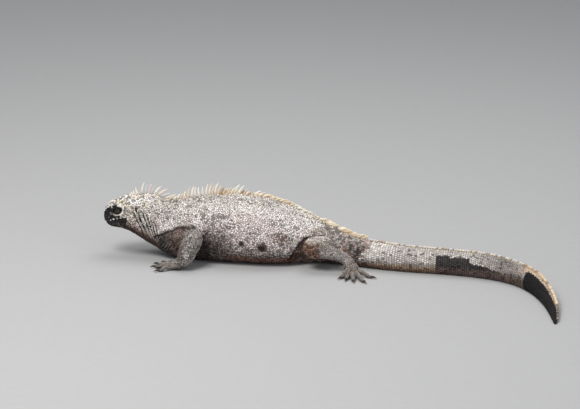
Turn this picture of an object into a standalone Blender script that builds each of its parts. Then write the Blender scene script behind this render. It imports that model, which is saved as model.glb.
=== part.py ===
# A marine iguana at rest on its belly, life size, as separate solids that meet with a thin gap.
# Units are metres with +Z up. The head points along -X, the animal's left side faces -Y, and the
# origin lies on the floor under the middle of the belly. Lengths below are millimetres times MM.
import math
import random

import bmesh
import bpy
import numpy as np
from mathutils import Vector

MM = 0.001
GAP = 0.3 * MM  # clear space kept between touching solids
BELLY_ALONG = 259.4  # distance from the snout tip to the origin, along the body

# The trunk from snout to tail tip. Each row is a station: its distance from the snout tip, the half
# width, then the heights above the floor of the underside, of the widest level and of the top.
TRUNK_STATIONS = (
    ("lips", 0, 15.5, 57.5, 73, 90),
    ("nostrils", 7, 17.5, 55, 73, 94.5),
    ("bridge", 15, 19.5, 53, 73.5, 100),
    ("eyes", 26, 23.5, 51.5, 75, 105),
    ("cheeks", 42, 29.5, 47.5, 77, 110),
    ("ears", 56, 32, 40, 74, 112.5),
    ("nape", 74, 34.5, 28, 68, 114),
    ("throat", 92, 39, 17.5, 60, 112.5),
    ("withers", 112, 47, 6, 52, 105),
    ("shoulders", 128, 53, 0, 49, 103.5),
    ("chest", 152, 60, -4, 48, 108),
    ("ribs", 190, 68, -6.5, 50, 113.5),
    ("back", 245, 76, -7, 50, 117.5),
    ("belly", 290, 79, -7, 46, 113.5),
    ("flank", 330, 73, -6, 42, 103),
    ("loin", 365, 58, -4, 38, 88),
    ("groin", 395, 44, -2.5, 33, 75),
    ("hips", 420, 37, -1.5, 29, 64.5),
    ("vent", 445, 31, -1, 27, 57),
    ("tail root", 470, 26, -1, 24.5, 51),
    ("tail quarter", 560, 17.5, -1, 22.5, 46),
    ("tail middle", 700, 12.5, -1, 21, 43.5),
    ("tail blade", 800, 9.5, -1, 18.5, 37),
    ("tail narrowing", 880, 7, -1, 12, 25),
    ("tail end", 950, 4.5, -1, 6.8, 14.5),
    ("tail tip", 1008, 1.3, -0.4, 2.8, 6),
)
SNOUT_ROUNDING = 17  # length over which the snout closes to its front point
TRUNK_END = TRUNK_STATIONS[-1][1]

# Direction in plan, in degrees, in which the trunk runs tailwards at each distance from the snout.
HEADINGS = (
    (0, 6),
    (60, 5),
    (120, 0),
    (320, 0),
    (400, -16),
    (460, -24),
    (530, -17),
    (600, -9),
    (655, -12),
    (710, -21),
    (760, -39),
    (810, -61),
    (860, -76),
    (930, -86),
    (TRUNK_END, -92),
)
# How far the tail leans over on to its right side, in degrees.
TAIL_LEAN = ((0, 0), (600, 0), (760, 18), (880, 48), (TRUNK_END, 62))

# Local swellings and hollows: name, distance from the snout, angle from the top, reach along,
# reach around, height. They are on both sides.
SWELLINGS = (
    ("brow", 22, 50, 13, 6, 2.6),
    ("eye hollow", 23.5, 69, 8, 6, -1.8),
    ("nostril mound", 6, 40, 4.5, 4.5, 1.6),
    ("jowl", 46, 112, 13, 13, 3.0),
    ("temple", 47, 60, 9, 8, 1.2),
    ("shoulder fold", 138, 92, 22, 7, 5.0),
    ("flank fold", 388, 78, 26, 8, 4.0),
)
# The mouth: distance from the snout and angle from the top along the line between the lips. It
# starts under the tip of the snout and climbs to its corner in the cheek.
MOUTH_LINE = ((0, 136), (4, 136), (8.5, 114), (14, 104), (20, 99), (28, 95.5), (41, 91))
MOUTH_FRONT = 3.4
MOUTH_CORNER = 41
MOUTH_DEPTH = 1.5
# The lips: name, degrees from the mouth, reach around, height.
LIPS = (("upper lip", -8, 3, 0.7), ("lower lip", 10, 3.5, 0.6))
LIP_MIDDLE = 20
LIP_REACH = 18
EYE_ALONG = 23.5
EYE_ANGLE = 66.5
EYE_RADIUS = 6.2
EYE_PROUD = 2.6  # how far the eyeball stands out of the head's own surface
LID_RADIUS = 6.3
LID_THICKNESS = 1.35
NOSTRIL_ALONG = 5.5
NOSTRIL_ANGLE = 41
NOSTRIL_RADIUS = 1.5
NOSTRIL_DEPTH = 3
EAR_ALONG = 57
EAR_ANGLE = 64
EAR_RADIUS = 5
EAR_DEPTH = 1.6

# The trunk is parted into lengths at these distances from the snout.
TRUNK_PARTS = (
    ("head", 0, 64.9, 3.6),
    ("neck", 64.9, 121, 6.6),
    ("torso", 121, 447, 14.6),
    ("tail_base", 447, 592, 15),
    ("tail_middle", 592, 722, 15),
    ("tail_rear", 722, 794, 14.5),
    ("tail_curve", 794, 862, 13.5),
    ("tail_end", 862, 936, 12.5),
    ("tail_tip", 936, TRUNK_END, 10),
)
TRUNK_SIDES = 28
TAIL_SIDES = 18
HEAD_ANGLES = (0, 12, 24, 36, 47, 58, 69, 79, 86, 90, 94, 102, 113, 125, 138, 152, 166, 180)

# The dorsal crest: distance from the snout, spine height, and lean towards the tail in degrees.
CREST = (
    (53, 8, -6),
    (62, 15, -6),
    (72, 28, 10),
    (88, 29, 28),
    (102, 26, 38),
    (112, 19, 50),
    (122, 13, 44),
    (140, 11, 22),
    (160, 20, 14),
    (200, 22, 16),
    (250, 20, 28),
    (300, 15, 48),
    (350, 11, 56),
    (400, 9, 56),
    (450, 7.5, 52),
    (560, 5.5, 46),
    (800, 6, 46),
    (900, 6.5, 46),
    (980, 5, 46),
    (TRUNK_END, 3.5, 46),
)
# Where the spacing of the spines changes: distance from the snout and spacing there.
CREST_SPACING = ((55, 6.6), (120, 6.6), (300, 7.4), (450, 9), (TRUNK_END, 9.5))
SPINE_ROOT = 3.2  # how far a spine's root is sunk
SPINE_CLEARANCE = 3.1  # least distance of a spine's middle from the end of its length of trunk
SPINE_SEED = 11

# Crown tubercles: cone-shaped scales on top of the head.
TUBERCLE_SEED = 5
TUBERCLE_SPACING = 7.2
TUBERCLE_HEIGHT = 4.2

# Limbs, left then right: joint centres in millimetres.
FORELIMBS = {
    "left": {
        "shoulder": (-124, -34, 46),
        "elbow": (-92, -80, 57.5),
        "wrist": (-110, -95, 14.5),
        "hand_heading": 156,
    },
    "right": {
        "shoulder": (-120, 34, 46),
        "elbow": (-84, 83, 54),
        "wrist": (-108, 104, 15),
        "hand_heading": 158,
    },
}
HINDLIMBS = {
    "left": {
        "hip": (157, -40, 33),
        "knee": (119, -80, 43),
        "ankle": (191, -88, 16),
        "foot_heading": -74,
    },
    "right": {
        "hip": (156, 6, 33),
        "knee": (112, 66, 42),
        "ankle": (171, 97, 15.5),
        "foot_heading": 74,
    },
}
UPPER_ARM_SIZES = ((23, 24), (20, 22), (16.5, 17))
FOREARM_SIZES = ((18, 17.5), (22.5, 17.5), (21.5, 15.5), (16.5, 11))
THIGH_SIZES = ((24, 20), (22, 20), (17, 17))
SHANK_SIZES = ((16.5, 17), (15, 14.5), (10.5, 10), (9.5, 9))
# How the shank's middle arches over the straight line from knee to ankle: share of it, and height.
SHANK_ARCH = ((0.42, 6), (0.8, 8))
HAND = {
    "palm_length": 26,
    "palm_half_width": 17,
    "palm_half_height": 8.5,
    "digit_lengths": (19, 26, 31, 29, 21),
    "digit_angles": (40, 20, 2, -18, -52),
    "digit_radius": 4.6,
}
FOOT = {
    "palm_length": 27,
    "palm_half_width": 14,
    "palm_half_height": 9,
    "digit_lengths": (17, 25, 34, 42, 26),
    "digit_angles": (50, 28, 10, -8, -44),
    "digit_radius": 4.5,
}
CLAW_LENGTH = 11.5
CLAW_RADIUS = 2.5
CLAW_SIDES = 6
LIMB_SIDES = 12
PALM_SIDES = 12
DIGIT_SIDES = 6


def smooth(at, knots, values):
    """Values at the knots, joined by a monotone cubic curve."""
    x = np.asarray(knots, float)
    y = np.asarray(values, float)
    at = np.clip(np.asarray(at, float), x[0], x[-1])
    step = np.diff(x)
    slope = np.diff(y) / step
    tangent = np.zeros_like(y)
    same_way = slope[:-1] * slope[1:] > 0
    mean = 2 * slope[:-1] * slope[1:] / np.where(same_way, slope[:-1] + slope[1:], 1)
    tangent[1:-1] = np.where(same_way, mean, 0)
    tangent[0] = slope[0]
    tangent[-1] = slope[-1]
    i = np.clip(np.searchsorted(x, at, side="right") - 1, 0, len(x) - 2)
    t = (at - x[i]) / step[i]
    return (
        y[i] * (1 + 2 * t) * (1 - t) ** 2
        + tangent[i] * step[i] * t * (1 - t) ** 2
        + y[i + 1] * t * t * (3 - 2 * t)
        + tangent[i + 1] * step[i] * t * t * (t - 1)
    )


def column(rows, index):
    return [row[index] for row in rows]


def trunk_line():
    """The trunk's centre line in plan: distances, and x and y at each, in millimetres."""
    along = np.arange(0, TRUNK_END + 1, 1.0)
    heading = np.radians(smooth(along, column(HEADINGS, 0), column(HEADINGS, 1)))
    x = np.concatenate([[0], np.cumsum((np.cos(heading[1:]) + np.cos(heading[:-1])) / 2)])
    y = np.concatenate([[0], np.cumsum((np.sin(heading[1:]) + np.sin(heading[:-1])) / 2)])
    x -= np.interp(BELLY_ALONG, along, x)
    y -= np.interp(BELLY_ALONG, along, y)
    return along, x, y


LINE = trunk_line()


def closing(distance, length):
    """Grows from 0 at an end to 1 at `length` from it, as a rounded nose."""
    t = 1 - np.clip(distance / length, 0, 1)
    return (1 - t**2.2) ** (1 / 2.2)


def mouth_angle(along):
    return smooth(along, column(MOUTH_LINE, 0), column(MOUTH_LINE, 1))


def lips_and_mouth(along, side_angle, half_width):
    """Height of both lips, less the groove of the mouth between them and under the snout's tip."""
    from_mouth = side_angle - mouth_angle(along)
    total = np.zeros(np.shape(from_mouth))
    for _, around, reach_around, height in LIPS:
        across = np.radians(from_mouth - around) * np.maximum(half_width, 12) / reach_around
        total = total + height * np.exp(-(((along - LIP_MIDDLE) / LIP_REACH) ** 2) - across**2)
    sides = np.exp(-((from_mouth / 2.4) ** 2)) * np.clip((along - 2) / 2, 0, 1)
    front = np.exp(-((along - MOUTH_FRONT) ** 2)) * np.clip((side_angle - 128) / 8, 0, 1)
    ends = np.clip((MOUTH_CORNER - along) / 3 + 0.5, 0, 1)
    return total - MOUTH_DEPTH * np.maximum(sides, front) * ends


def swelling(along, angle, half_width):
    """Height in millimetres of the local swellings at a place on the trunk; angle in degrees."""
    total = np.zeros(np.broadcast(along, angle).shape)
    side_angle = np.abs((np.asarray(angle) + 180) % 360 - 180)
    for _, centre, around, reach_along, reach_around, height in SWELLINGS:
        across = np.radians(side_angle - around) * np.maximum(half_width, 12) / reach_around
        total = total + height * np.exp(-(((along - centre) / reach_along) ** 2) - across**2)
    return total + lips_and_mouth(along, side_angle, half_width)


def trunk_point(along, angle, grow=0.0):
    """Points of the trunk's surface in metres, for distances in millimetres and angles in degrees
    from the top towards the left side. The surface is moved out by `grow` millimetres."""
    along = np.asarray(along, float)
    angle = np.asarray(angle, float)
    stations = column(TRUNK_STATIONS, 1)
    width, low, belt, high = (
        smooth(along, stations, column(TRUNK_STATIONS, i)) for i in (2, 3, 4, 5)
    )
    nose = closing(along, SNOUT_ROUNDING)
    above = (high - belt) * nose
    below = (belt - low) * nose
    width = width * nose
    lean = np.radians(smooth(along, column(TAIL_LEAN, 0), column(TAIL_LEAN, 1)))
    centre = low + (1 - nose) * (belt - low)
    centre = centre + np.sqrt((below * np.cos(lean)) ** 2 + (width * np.sin(lean)) ** 2)
    power = smooth(along, (0, 60, 130, 300, 480, 900), (2.2, 2.2, 2.1, 2.25, 2.1, 1.9))
    turn = np.radians(angle)
    side = -np.sign(np.sin(turn)) * np.abs(np.sin(turn)) ** (2 / power)
    up = np.sign(np.cos(turn)) * np.abs(np.cos(turn)) ** (2 / power)
    lift = swelling(along, angle, width) * nose
    depth = np.where(up >= 0, above, below)
    radius = np.maximum(np.hypot(side * width, up * depth), 1e-6)
    swell = 1 + (lift + grow) / radius
    across = side * width * swell
    rise = up * depth * swell
    heading = np.radians(smooth(along, column(HEADINGS, 0), column(HEADINGS, 1)))
    sideways = across * np.cos(lean) + rise * np.sin(lean)
    x = np.interp(along, LINE[0], LINE[1]) - np.sin(heading) * sideways
    y = np.interp(along, LINE[0], LINE[2]) + np.cos(heading) * sideways
    z = centre - across * np.sin(lean) + rise * np.cos(lean)
    z = np.maximum(z, -grow)
    return np.stack(np.broadcast_arrays(x, y, z), axis=-1) * MM


def trunk_frame(along, angle):
    """A place on the trunk's surface with its outward direction and the direction tailwards."""
    here, tailwards, round_left = trunk_point([along, along + 1, along], [angle, angle, angle + 3])
    back = Vector(tailwards - here).normalized()
    out = back.cross(Vector(round_left - here)).normalized()
    if out.dot(Vector(here - trunk_point(along, angle, -2.0))) < 0:
        out.negate()
    return Vector(here), out, back


def new_object(name, points, faces, material=None):
    mesh = bpy.data.meshes.new(name)
    mesh.from_pydata([tuple(p) for p in points], [], faces)
    made = bmesh.new()
    made.from_mesh(mesh)
    bmesh.ops.remove_doubles(made, verts=made.verts, dist=1e-7)
    bmesh.ops.dissolve_degenerate(made, dist=1e-7, edges=made.edges)
    bmesh.ops.triangulate(made, faces=made.faces)
    bmesh.ops.recalc_face_normals(made, faces=made.faces)
    made.to_mesh(mesh)
    made.free()
    mesh.shade_smooth()
    mesh.set_sharp_from_angle(angle=math.radians(50))
    thing = bpy.data.objects.new(name, mesh)
    bpy.context.scene.collection.objects.link(thing)
    if material:
        mesh.materials.append(material)
    return thing


def loft(name, rings, material=None):
    """A closed solid through rings of points. A ring of one point closes that end to a tip."""
    points = []
    starts = []
    for ring in rings:
        starts.append(len(points))
        points.extend(ring)
    faces = []
    for a, b, first, second in zip(rings, rings[1:], starts, starts[1:]):
        count = max(len(a), len(b))
        for i in range(count):
            j = (i + 1) % count
            corners = (
                first + i % len(a),
                first + j % len(a),
                second + j % len(b),
                second + i % len(b),
            )
            corner_set = tuple(dict.fromkeys(corners))
            faces.append(corner_set)
    for ring, first in ((rings[0], starts[0]), (rings[-1], starts[-1])):
        if len(ring) > 1:
            faces.append(tuple(range(first, first + len(ring))))
    return new_object(name, points, faces, material)


def trunk_angles(name, along):
    """The angles of a ring's points. On the head they crowd along the mouth."""
    if name == "head":
        drop = mouth_angle(along) - 90
        half = [a + drop * math.sin(math.radians(a)) for a in HEAD_ANGLES]
        return half + [360 - a for a in reversed(half[1:-1])]
    sides = TAIL_SIDES if name.startswith("tail") else TRUNK_SIDES
    return [360 * i / sides for i in range(sides)]


def trunk_length(name, start, end, spacing, material=None, grow=0.0):
    """One length of the trunk between two distances from the snout."""
    start = start + (GAP / MM / 2 - grow if start else 0)
    end = end - (GAP / MM / 2 - grow if end < TRUNK_END else 0)
    count = max(2, round((end - start) / spacing))
    steps = np.linspace(0, 1, count + 1)
    if start == 0:
        steps = steps**1.45
    rings = []
    for along in start + (end - start) * steps:
        if along == 0:
            rings.append([trunk_point(0, 0)])
        else:
            rings.append(list(trunk_point(along, trunk_angles(name, along), grow)))
    return loft(name, rings, material)


def tube(name, centres, sizes, sides, material=None, up=(0, 0, 1), grow=0.0, closed=(True, True)):
    """A tapering limb along a line of centres. Each size is a half width and a half height. An end
    that is closed is rounded off over its own half width."""
    centres = np.asarray(centres, float)
    lengths = np.concatenate([[0], np.cumsum(np.linalg.norm(np.diff(centres, axis=0), axis=1))])
    total = lengths[-1]
    knots = np.linspace(0, total, len(sizes))
    first, last = sizes[0][0], sizes[-1][0]
    ends = np.array([0, 0.12, 0.45, 1.0])
    middle = np.linspace(0, 1, 5)[1:-1]
    inner_start = first if closed[0] else 0
    inner_end = total - (last if closed[1] else 0)
    at = list(inner_start + (inner_end - inner_start) * middle)
    at = (list(ends * first) if closed[0] else [0]) + at
    at = at + (list(total - ends[::-1] * last) if closed[1] else [total])
    rings = []
    for s in at:
        centre = np.array([smooth(s, lengths, centres[:, i]) for i in range(3)])
        ahead = np.array([smooth(s + 1, lengths, centres[:, i]) for i in range(3)])
        behind = np.array([smooth(s - 1, lengths, centres[:, i]) for i in range(3)])
        direction = Vector(ahead - behind).normalized()
        across = direction.cross(Vector(up)).normalized()
        over = across.cross(direction)
        scale = 1.0
        if closed[0]:
            scale *= math.sqrt(max(0, 1 - max(0, 1 - s / first) ** 2))
        if closed[1]:
            scale *= math.sqrt(max(0, 1 - max(0, 1 - (total - s) / last) ** 2))
        half_width = smooth(s, knots, column(sizes, 0)) * scale + grow
        half_height = smooth(s, knots, column(sizes, 1)) * scale + grow
        if scale < 1e-3:
            sign = -1 if s < total / 2 else 1
            rings.append([Vector(centre) * MM + direction * (sign * grow * MM)])
            continue
        ring = []
        for i in range(sides):
            turn = 2 * math.pi * (i + 0.5) / sides
            offset = across * (half_width * math.cos(turn)) + over * (half_height * math.sin(turn))
            ring.append((Vector(centre) + offset) * MM)
        rings.append(ring)
    return loft(name, rings, material)


def apply_modifiers(thing):
    graph = bpy.context.evaluated_depsgraph_get()
    mesh = bpy.data.meshes.new_from_object(thing.evaluated_get(graph))
    thing.modifiers.clear()
    old = thing.data
    thing.data = mesh
    bpy.data.meshes.remove(old)


def keep_largest(thing):
    """Drops every loose scrap and sealed hollow, leaving the largest closed surface."""
    made = bmesh.new()
    made.from_mesh(thing.data)
    bmesh.ops.triangulate(made, faces=made.faces)
    bmesh.ops.remove_doubles(made, verts=made.verts, dist=2e-6)
    left = set(made.verts)
    groups = []
    while left:
        group = [left.pop()]
        for vertex in group:
            for edge in vertex.link_edges:
                other = edge.other_vert(vertex)
                if other in left:
                    left.remove(other)
                    group.append(other)
        groups.append(group)
    groups.sort(key=len)
    for group in groups[:-1]:
        bmesh.ops.delete(made, geom=group, context="VERTS")
    made.to_mesh(thing.data)
    made.free()


def combine(thing, others, operation):
    """One Boolean of `thing` with all the others, which are then removed."""
    group = bpy.data.collections.new(thing.name + "_" + operation.lower())
    for other in others:
        bpy.context.scene.collection.objects.unlink(other)
        group.objects.link(other)
    cut = thing.modifiers.new(operation.title(), "BOOLEAN")
    cut.operation = operation
    cut.operand_type = "COLLECTION"
    cut.collection = group
    cut.solver = "EXACT"
    apply_modifiers(thing)
    for other in others:
        bpy.data.objects.remove(other)
    bpy.data.collections.remove(group)
    keep_largest(thing)


def skin_material(name, colour, roughness):
    material = bpy.data.materials.new(name)
    material.use_nodes = True
    shader = material.node_tree.nodes["Principled BSDF"]
    shader.inputs["Base Color"].default_value = (*colour, 1)
    shader.inputs["Roughness"].default_value = roughness
    shader.inputs["Metallic"].default_value = 0
    return material


def spine(name, base, out, back, height, lean, length, thickness):
    """A flattened spine that tapers and curves tailwards from its sunk root."""
    side = out.cross(back).normalized()
    lean = math.radians(lean)
    direction = out * math.cos(lean) + back * math.sin(lean)
    tip_lean = lean + math.radians(18)
    tip_direction = out * math.cos(tip_lean) + back * math.sin(tip_lean)
    middle = base + direction * (0.55 * height)
    tip = middle + tip_direction * (0.45 * height)
    root = base - out * (SPINE_ROOT * MM)
    flat_back = (back - direction * back.dot(direction)).normalized()
    rings = []
    for centre, size in ((root, 1.0), (middle, 0.62)):
        along = flat_back * (length / 2 * size)
        across = side * (thickness / 2 * size)
        rings.append([centre + along, centre + across, centre - along, centre - across])
    rings.append([tip])
    return loft(name, rings)


def crest_places(start, end):
    """Distances from the snout of the spines between two cuts, clear of both."""
    places = []
    along = CREST_SPACING[0][0]
    while along < TRUNK_END - 6:
        spacing = float(smooth(along, column(CREST_SPACING, 0), column(CREST_SPACING, 1)))
        if start + SPINE_CLEARANCE < along < end - SPINE_CLEARANCE:
            places.append((along, spacing))
        along += spacing
    return places


def crest_spines(start, end):
    draw = random.Random(SPINE_SEED + int(start))
    made = []
    for along, spacing in crest_places(start, end):
        height = float(smooth(along, column(CREST, 0), column(CREST, 1)))
        lean = float(smooth(along, column(CREST, 0), column(CREST, 2)))
        height *= draw.uniform(0.88, 1.1)
        lean += draw.uniform(-4, 4)
        base, out, back = trunk_frame(along, draw.uniform(-1, 1))
        length = min(0.78 * spacing, 2.4 + 0.16 * height) * MM
        thickness = (1.5 + 0.055 * height) * MM
        made.append(
            spine(f"spine_{along:.0f}", base, out, back, height * MM, lean, length, thickness)
        )
    return made


def cone(name, base, out, radius, height, sides, sink):
    """A low pointed scale set on a surface, its root sunk in."""
    side = out.orthogonal().normalized()
    other = out.cross(side)
    ring = []
    for i in range(sides):
        turn = 2 * math.pi * i / sides
        offset = side * math.cos(turn) + other * math.sin(turn)
        ring.append(base - out * sink + offset * radius)
    return loft(name, [ring, [base + out * height]])


def crown_tubercles():
    """Rows of cone-shaped scales over the snout, brow and crown, largest over the forehead."""
    draw = random.Random(TUBERCLE_SEED)
    made = []
    for row, along in enumerate(np.arange(10, 58, TUBERCLE_SPACING * 0.9)):
        half_width = float(trunk_width(along))
        step = math.degrees(TUBERCLE_SPACING / half_width)
        count = int(50 / step)
        for i in range(-count, count + 1):
            angle = (i + 0.5 * (row % 2)) * step
            if abs(angle) > 56:
                continue
            size = draw.uniform(0.8, 1.1) * (1 - 0.35 * abs(along - 26) / 34)
            base, out, _ = trunk_frame(along, angle)
            made.append(
                cone(
                    f"tubercle_{row}_{i}",
                    base,
                    out,
                    0.5 * TUBERCLE_SPACING * size * MM * 0.94,
                    TUBERCLE_HEIGHT * size * MM,
                    5,
                    1.0 * MM,
                )
            )
    return made


def trunk_width(along):
    return smooth(along, column(TRUNK_STATIONS, 1), column(TRUNK_STATIONS, 2)) * closing(
        along, SNOUT_ROUNDING
    )


def ball(name, centre, radius, rings=8, sides=14, material=None, axis=(0, 0, 1)):
    """A sphere as stacked rings about an axis."""
    axis = Vector(axis).normalized()
    side = axis.orthogonal().normalized()
    other = axis.cross(side)
    stack = [[centre - axis * radius]]
    for r in range(1, rings):
        tilt = math.pi * r / rings
        ring = []
        for i in range(sides):
            turn = 2 * math.pi * i / sides
            offset = side * math.cos(turn) + other * math.sin(turn)
            ring.append(centre - axis * (radius * math.cos(tilt)) + offset * (radius * math.sin(tilt)))
        stack.append(ring)
    stack.append([centre + axis * radius])
    return loft(name, stack, material)


def lid_ring(name, centre, out, radius, thickness):
    """The raised rim of the lids around one eye, wider than it is high."""
    lengthwise = Vector((1, 0, 0)) - out * out.x
    lengthwise.normalize()
    upright = out.cross(lengthwise)
    points = []
    faces = []
    around, section = 14, 5
    for i in range(around):
        turn = 2 * math.pi * i / around
        middle = lengthwise * (1.18 * radius * math.cos(turn)) + upright * (0.9 * radius * math.sin(turn))
        outward = middle.normalized()
        for j in range(section):
            tilt = 2 * math.pi * j / section
            offset = outward * (thickness * math.cos(tilt)) + out * (1.3 * thickness * math.sin(tilt))
            points.append(centre + middle + offset)
    for i in range(around):
        for j in range(section):
            k, m = (i + 1) % around, (j + 1) % section
            faces.append(
                (i * section + j, i * section + m, k * section + m, k * section + j)
            )
    return new_object(name, points, faces)


def eye_places():
    for side, sign in (("left", 1), ("right", -1)):
        surface, out, _ = trunk_frame(EYE_ALONG, sign * EYE_ANGLE)
        centre = surface - out * ((EYE_RADIUS - EYE_PROUD) * MM)
        yield side, surface, out, centre


def build_head(skin, eye_material):
    name, start, end, spacing = TRUNK_PARTS[0]
    head = trunk_length(name, start, end, spacing, skin)
    raised = crown_tubercles() + crest_spines(start, end)
    for side, surface, out, _ in eye_places():
        raised.append(
            lid_ring(f"lids_{side}", surface + out * (0.1 * MM), out, LID_RADIUS * MM, LID_THICKNESS * MM)
        )
    combine(head, raised, "UNION")
    cutters = []
    for side, _, out, centre in eye_places():
        cutters.append(ball(f"socket_{side}", centre, EYE_RADIUS * MM + GAP, axis=out))
    for sign in (1, -1):
        surface, out, _ = trunk_frame(NOSTRIL_ALONG, sign * NOSTRIL_ANGLE)
        pit = [surface - out * (NOSTRIL_DEPTH * MM), surface + out * (2.5 * MM)]
        cutters.append(
            tube(
                f"nostril_{sign}",
                [p / MM for p in pit],
                ((NOSTRIL_RADIUS * 0.6, NOSTRIL_RADIUS * 0.6), (NOSTRIL_RADIUS, NOSTRIL_RADIUS * 0.8)),
                8,
                up=(1, 0, 0),
                closed=(False, False),
            )
        )
        surface, out, _ = trunk_frame(EAR_ALONG, sign * EAR_ANGLE)
        bowl_radius = (EAR_RADIUS**2 + EAR_DEPTH**2) / (2 * EAR_DEPTH)
        centre = surface + out * ((bowl_radius - EAR_DEPTH) * MM)
        cutters.append(ball(f"ear_{sign}", centre, bowl_radius * MM, rings=16, sides=16, axis=out))
    combine(head, cutters, "DIFFERENCE")
    for side, _, out, centre in eye_places():
        ball(f"eye_{side}", centre, EYE_RADIUS * MM, 9, 14, eye_material, axis=out)
    return head


def build_trunk(skin, eye_material):
    build_head(skin, eye_material)
    for name, start, end, spacing in TRUNK_PARTS[1:]:
        length = trunk_length(name, start, end, spacing, skin)
        combine(length, crest_spines(start, end), "UNION")


def trunk_cutter_named(part, name):
    row = next(r for r in TRUNK_PARTS if r[0] == part)
    return trunk_length(name, *row[1:], grow=GAP / MM * 1.1)


def floor_cutter(name):
    """A slab whose top is the floor, which leaves small flats on what stands on it."""
    size, depth = 0.6, 0.05
    corners = [(-size, -size), (size, -size), (size, size), (-size, size)]
    bottom = [(x, y, -depth) for x, y in corners]
    top = [(x, y, 0.0) for x, y in corners]
    return loft(name, [bottom, top])


def digit_line(root, heading, length, radius):
    """Centres from inside the palm, over the middle joint, down to the tip of one digit."""
    ahead = Vector((math.cos(heading), math.sin(heading), 0))
    tip_height = radius * 0.62
    heights = (root.z, root.z + 1.0, (root.z + tip_height) / 2 + 0.6, tip_height, tip_height)
    steps = (-6, 0.32 * length, 0.62 * length, length - 4, length)
    return [root + ahead * step + Vector((0, 0, z - root.z)) for step, z in zip(steps, heights)]


def claw(name, start, heading, material):
    """A curved, pointed claw that starts at a digit's flat end and comes down to the floor."""
    ahead = Vector((math.cos(heading), math.sin(heading), 0))
    across = Vector((0, 0, 1)).cross(ahead)
    rings = []
    profile = ((0, 0.0, 1.0), (0.5, 0.9, 0.78), (1.0, -1.3, 0.1))
    for t, rise, size in profile:
        centre = start + ahead * (t * CLAW_LENGTH) + Vector((0, 0, rise))
        half = CLAW_RADIUS * size
        low = min(half * 0.95, centre.z - 0.25)
        ring = []
        for i in range(CLAW_SIDES):
            turn = 2 * math.pi * i / CLAW_SIDES
            lift = math.sin(turn) * (half if math.sin(turn) > 0 else low)
            ring.append((centre + across * (0.72 * half * math.cos(turn)) + Vector((0, 0, lift))) * MM)
        rings.append(ring)
    return loft(name, rings, material)


def build_extremity(name, claw_name, sizes, joint, heading, mirror, skin, claw_material):
    """A hand or foot: the sole, five digits joined to it, and five separate claws."""
    heading = math.radians(heading)
    ahead = Vector((math.cos(heading), math.sin(heading), 0))
    across = Vector((0, 0, 1)).cross(ahead)
    joint = Vector(joint)
    height = sizes["palm_half_height"]
    width = sizes["palm_half_width"]
    start = Vector((joint.x, joint.y, joint.z)) - ahead * 7
    end = Vector((joint.x, joint.y, height * 0.72)) + ahead * sizes["palm_length"]
    palm = tube(
        name,
        [start, (start + end) / 2 + Vector((0, 0, 0.5)), end],
        ((width * 0.78, height * 1.15), (width, height), (width * 0.98, height * 0.74)),
        PALM_SIDES,
        skin,
    )
    digits = []
    for number, (length, angle) in enumerate(zip(sizes["digit_lengths"], sizes["digit_angles"]), 1):
        turn = heading + math.radians(angle) * mirror
        spread = math.sin(math.radians(angle)) * width * 1.12 * mirror
        root = end - ahead * 7 + across * spread
        root.z = height * 0.72
        radius = sizes["digit_radius"] * (0.92 if number in (1, 5) else 1.0)
        line = digit_line(root, turn, length, radius)
        digit_sizes = ((radius * 1.1, radius), (radius, radius), (radius * 0.9, radius * 0.85))
        digit_sizes += ((radius * 0.78, radius * 0.66),)
        digits.append(
            tube(f"{name}_digit_{number}", line, digit_sizes, DIGIT_SIDES, closed=(False, False))
        )
        claw_start = line[-1] + Vector((math.cos(turn), math.sin(turn), 0)) * (GAP / MM + 0.15)
        claw(f"{claw_name}_{number}", claw_start, turn, claw_material)
    combine(palm, digits, "UNION")
    combine(palm, [floor_cutter(f"{name}_floor")], "DIFFERENCE")
    return palm


def build_forelimb(side, joints, skin, claw_material):
    mirror = 1 if side == "left" else -1
    shoulder, elbow, wrist = (Vector(joints[k]) for k in ("shoulder", "elbow", "wrist"))
    past_elbow = elbow + (elbow - wrist).normalized() * 14
    past_wrist = wrist - (elbow - wrist).normalized() * 8
    line = [past_elbow, elbow + (wrist - elbow) * 0.5, past_wrist]

    def forearm(name, grow=0.0, material=None):
        return tube(name, line, FOREARM_SIZES, LIMB_SIDES, material, up=(-1, 0, 0.3), grow=grow)

    grown = GAP / MM
    arm_line = [shoulder, (shoulder + elbow) / 2, elbow + (elbow - shoulder).normalized() * 10]
    arm = tube(f"upper_arm_{side}", arm_line, UPPER_ARM_SIZES, LIMB_SIDES, skin)
    combine(arm, [forearm("cutter_1", grown)], "DIFFERENCE")
    combine(arm, [trunk_cutter_named("torso", "cutter_2")], "DIFFERENCE")
    combine(arm, [trunk_cutter_named("neck", "cutter_3")], "DIFFERENCE")
    whole = forearm(f"forearm_{side}", material=skin)
    combine(whole, [floor_cutter("cutter_4")], "DIFFERENCE")
    combine(whole, [trunk_cutter_named("torso", "cutter_5")], "DIFFERENCE")
    hand = build_extremity(
        f"hand_{side}", f"claw_hand_{side}", HAND, wrist, joints["hand_heading"], -mirror, skin, claw_material
    )
    combine(hand, [forearm("cutter_6", grown)], "DIFFERENCE")


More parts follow.
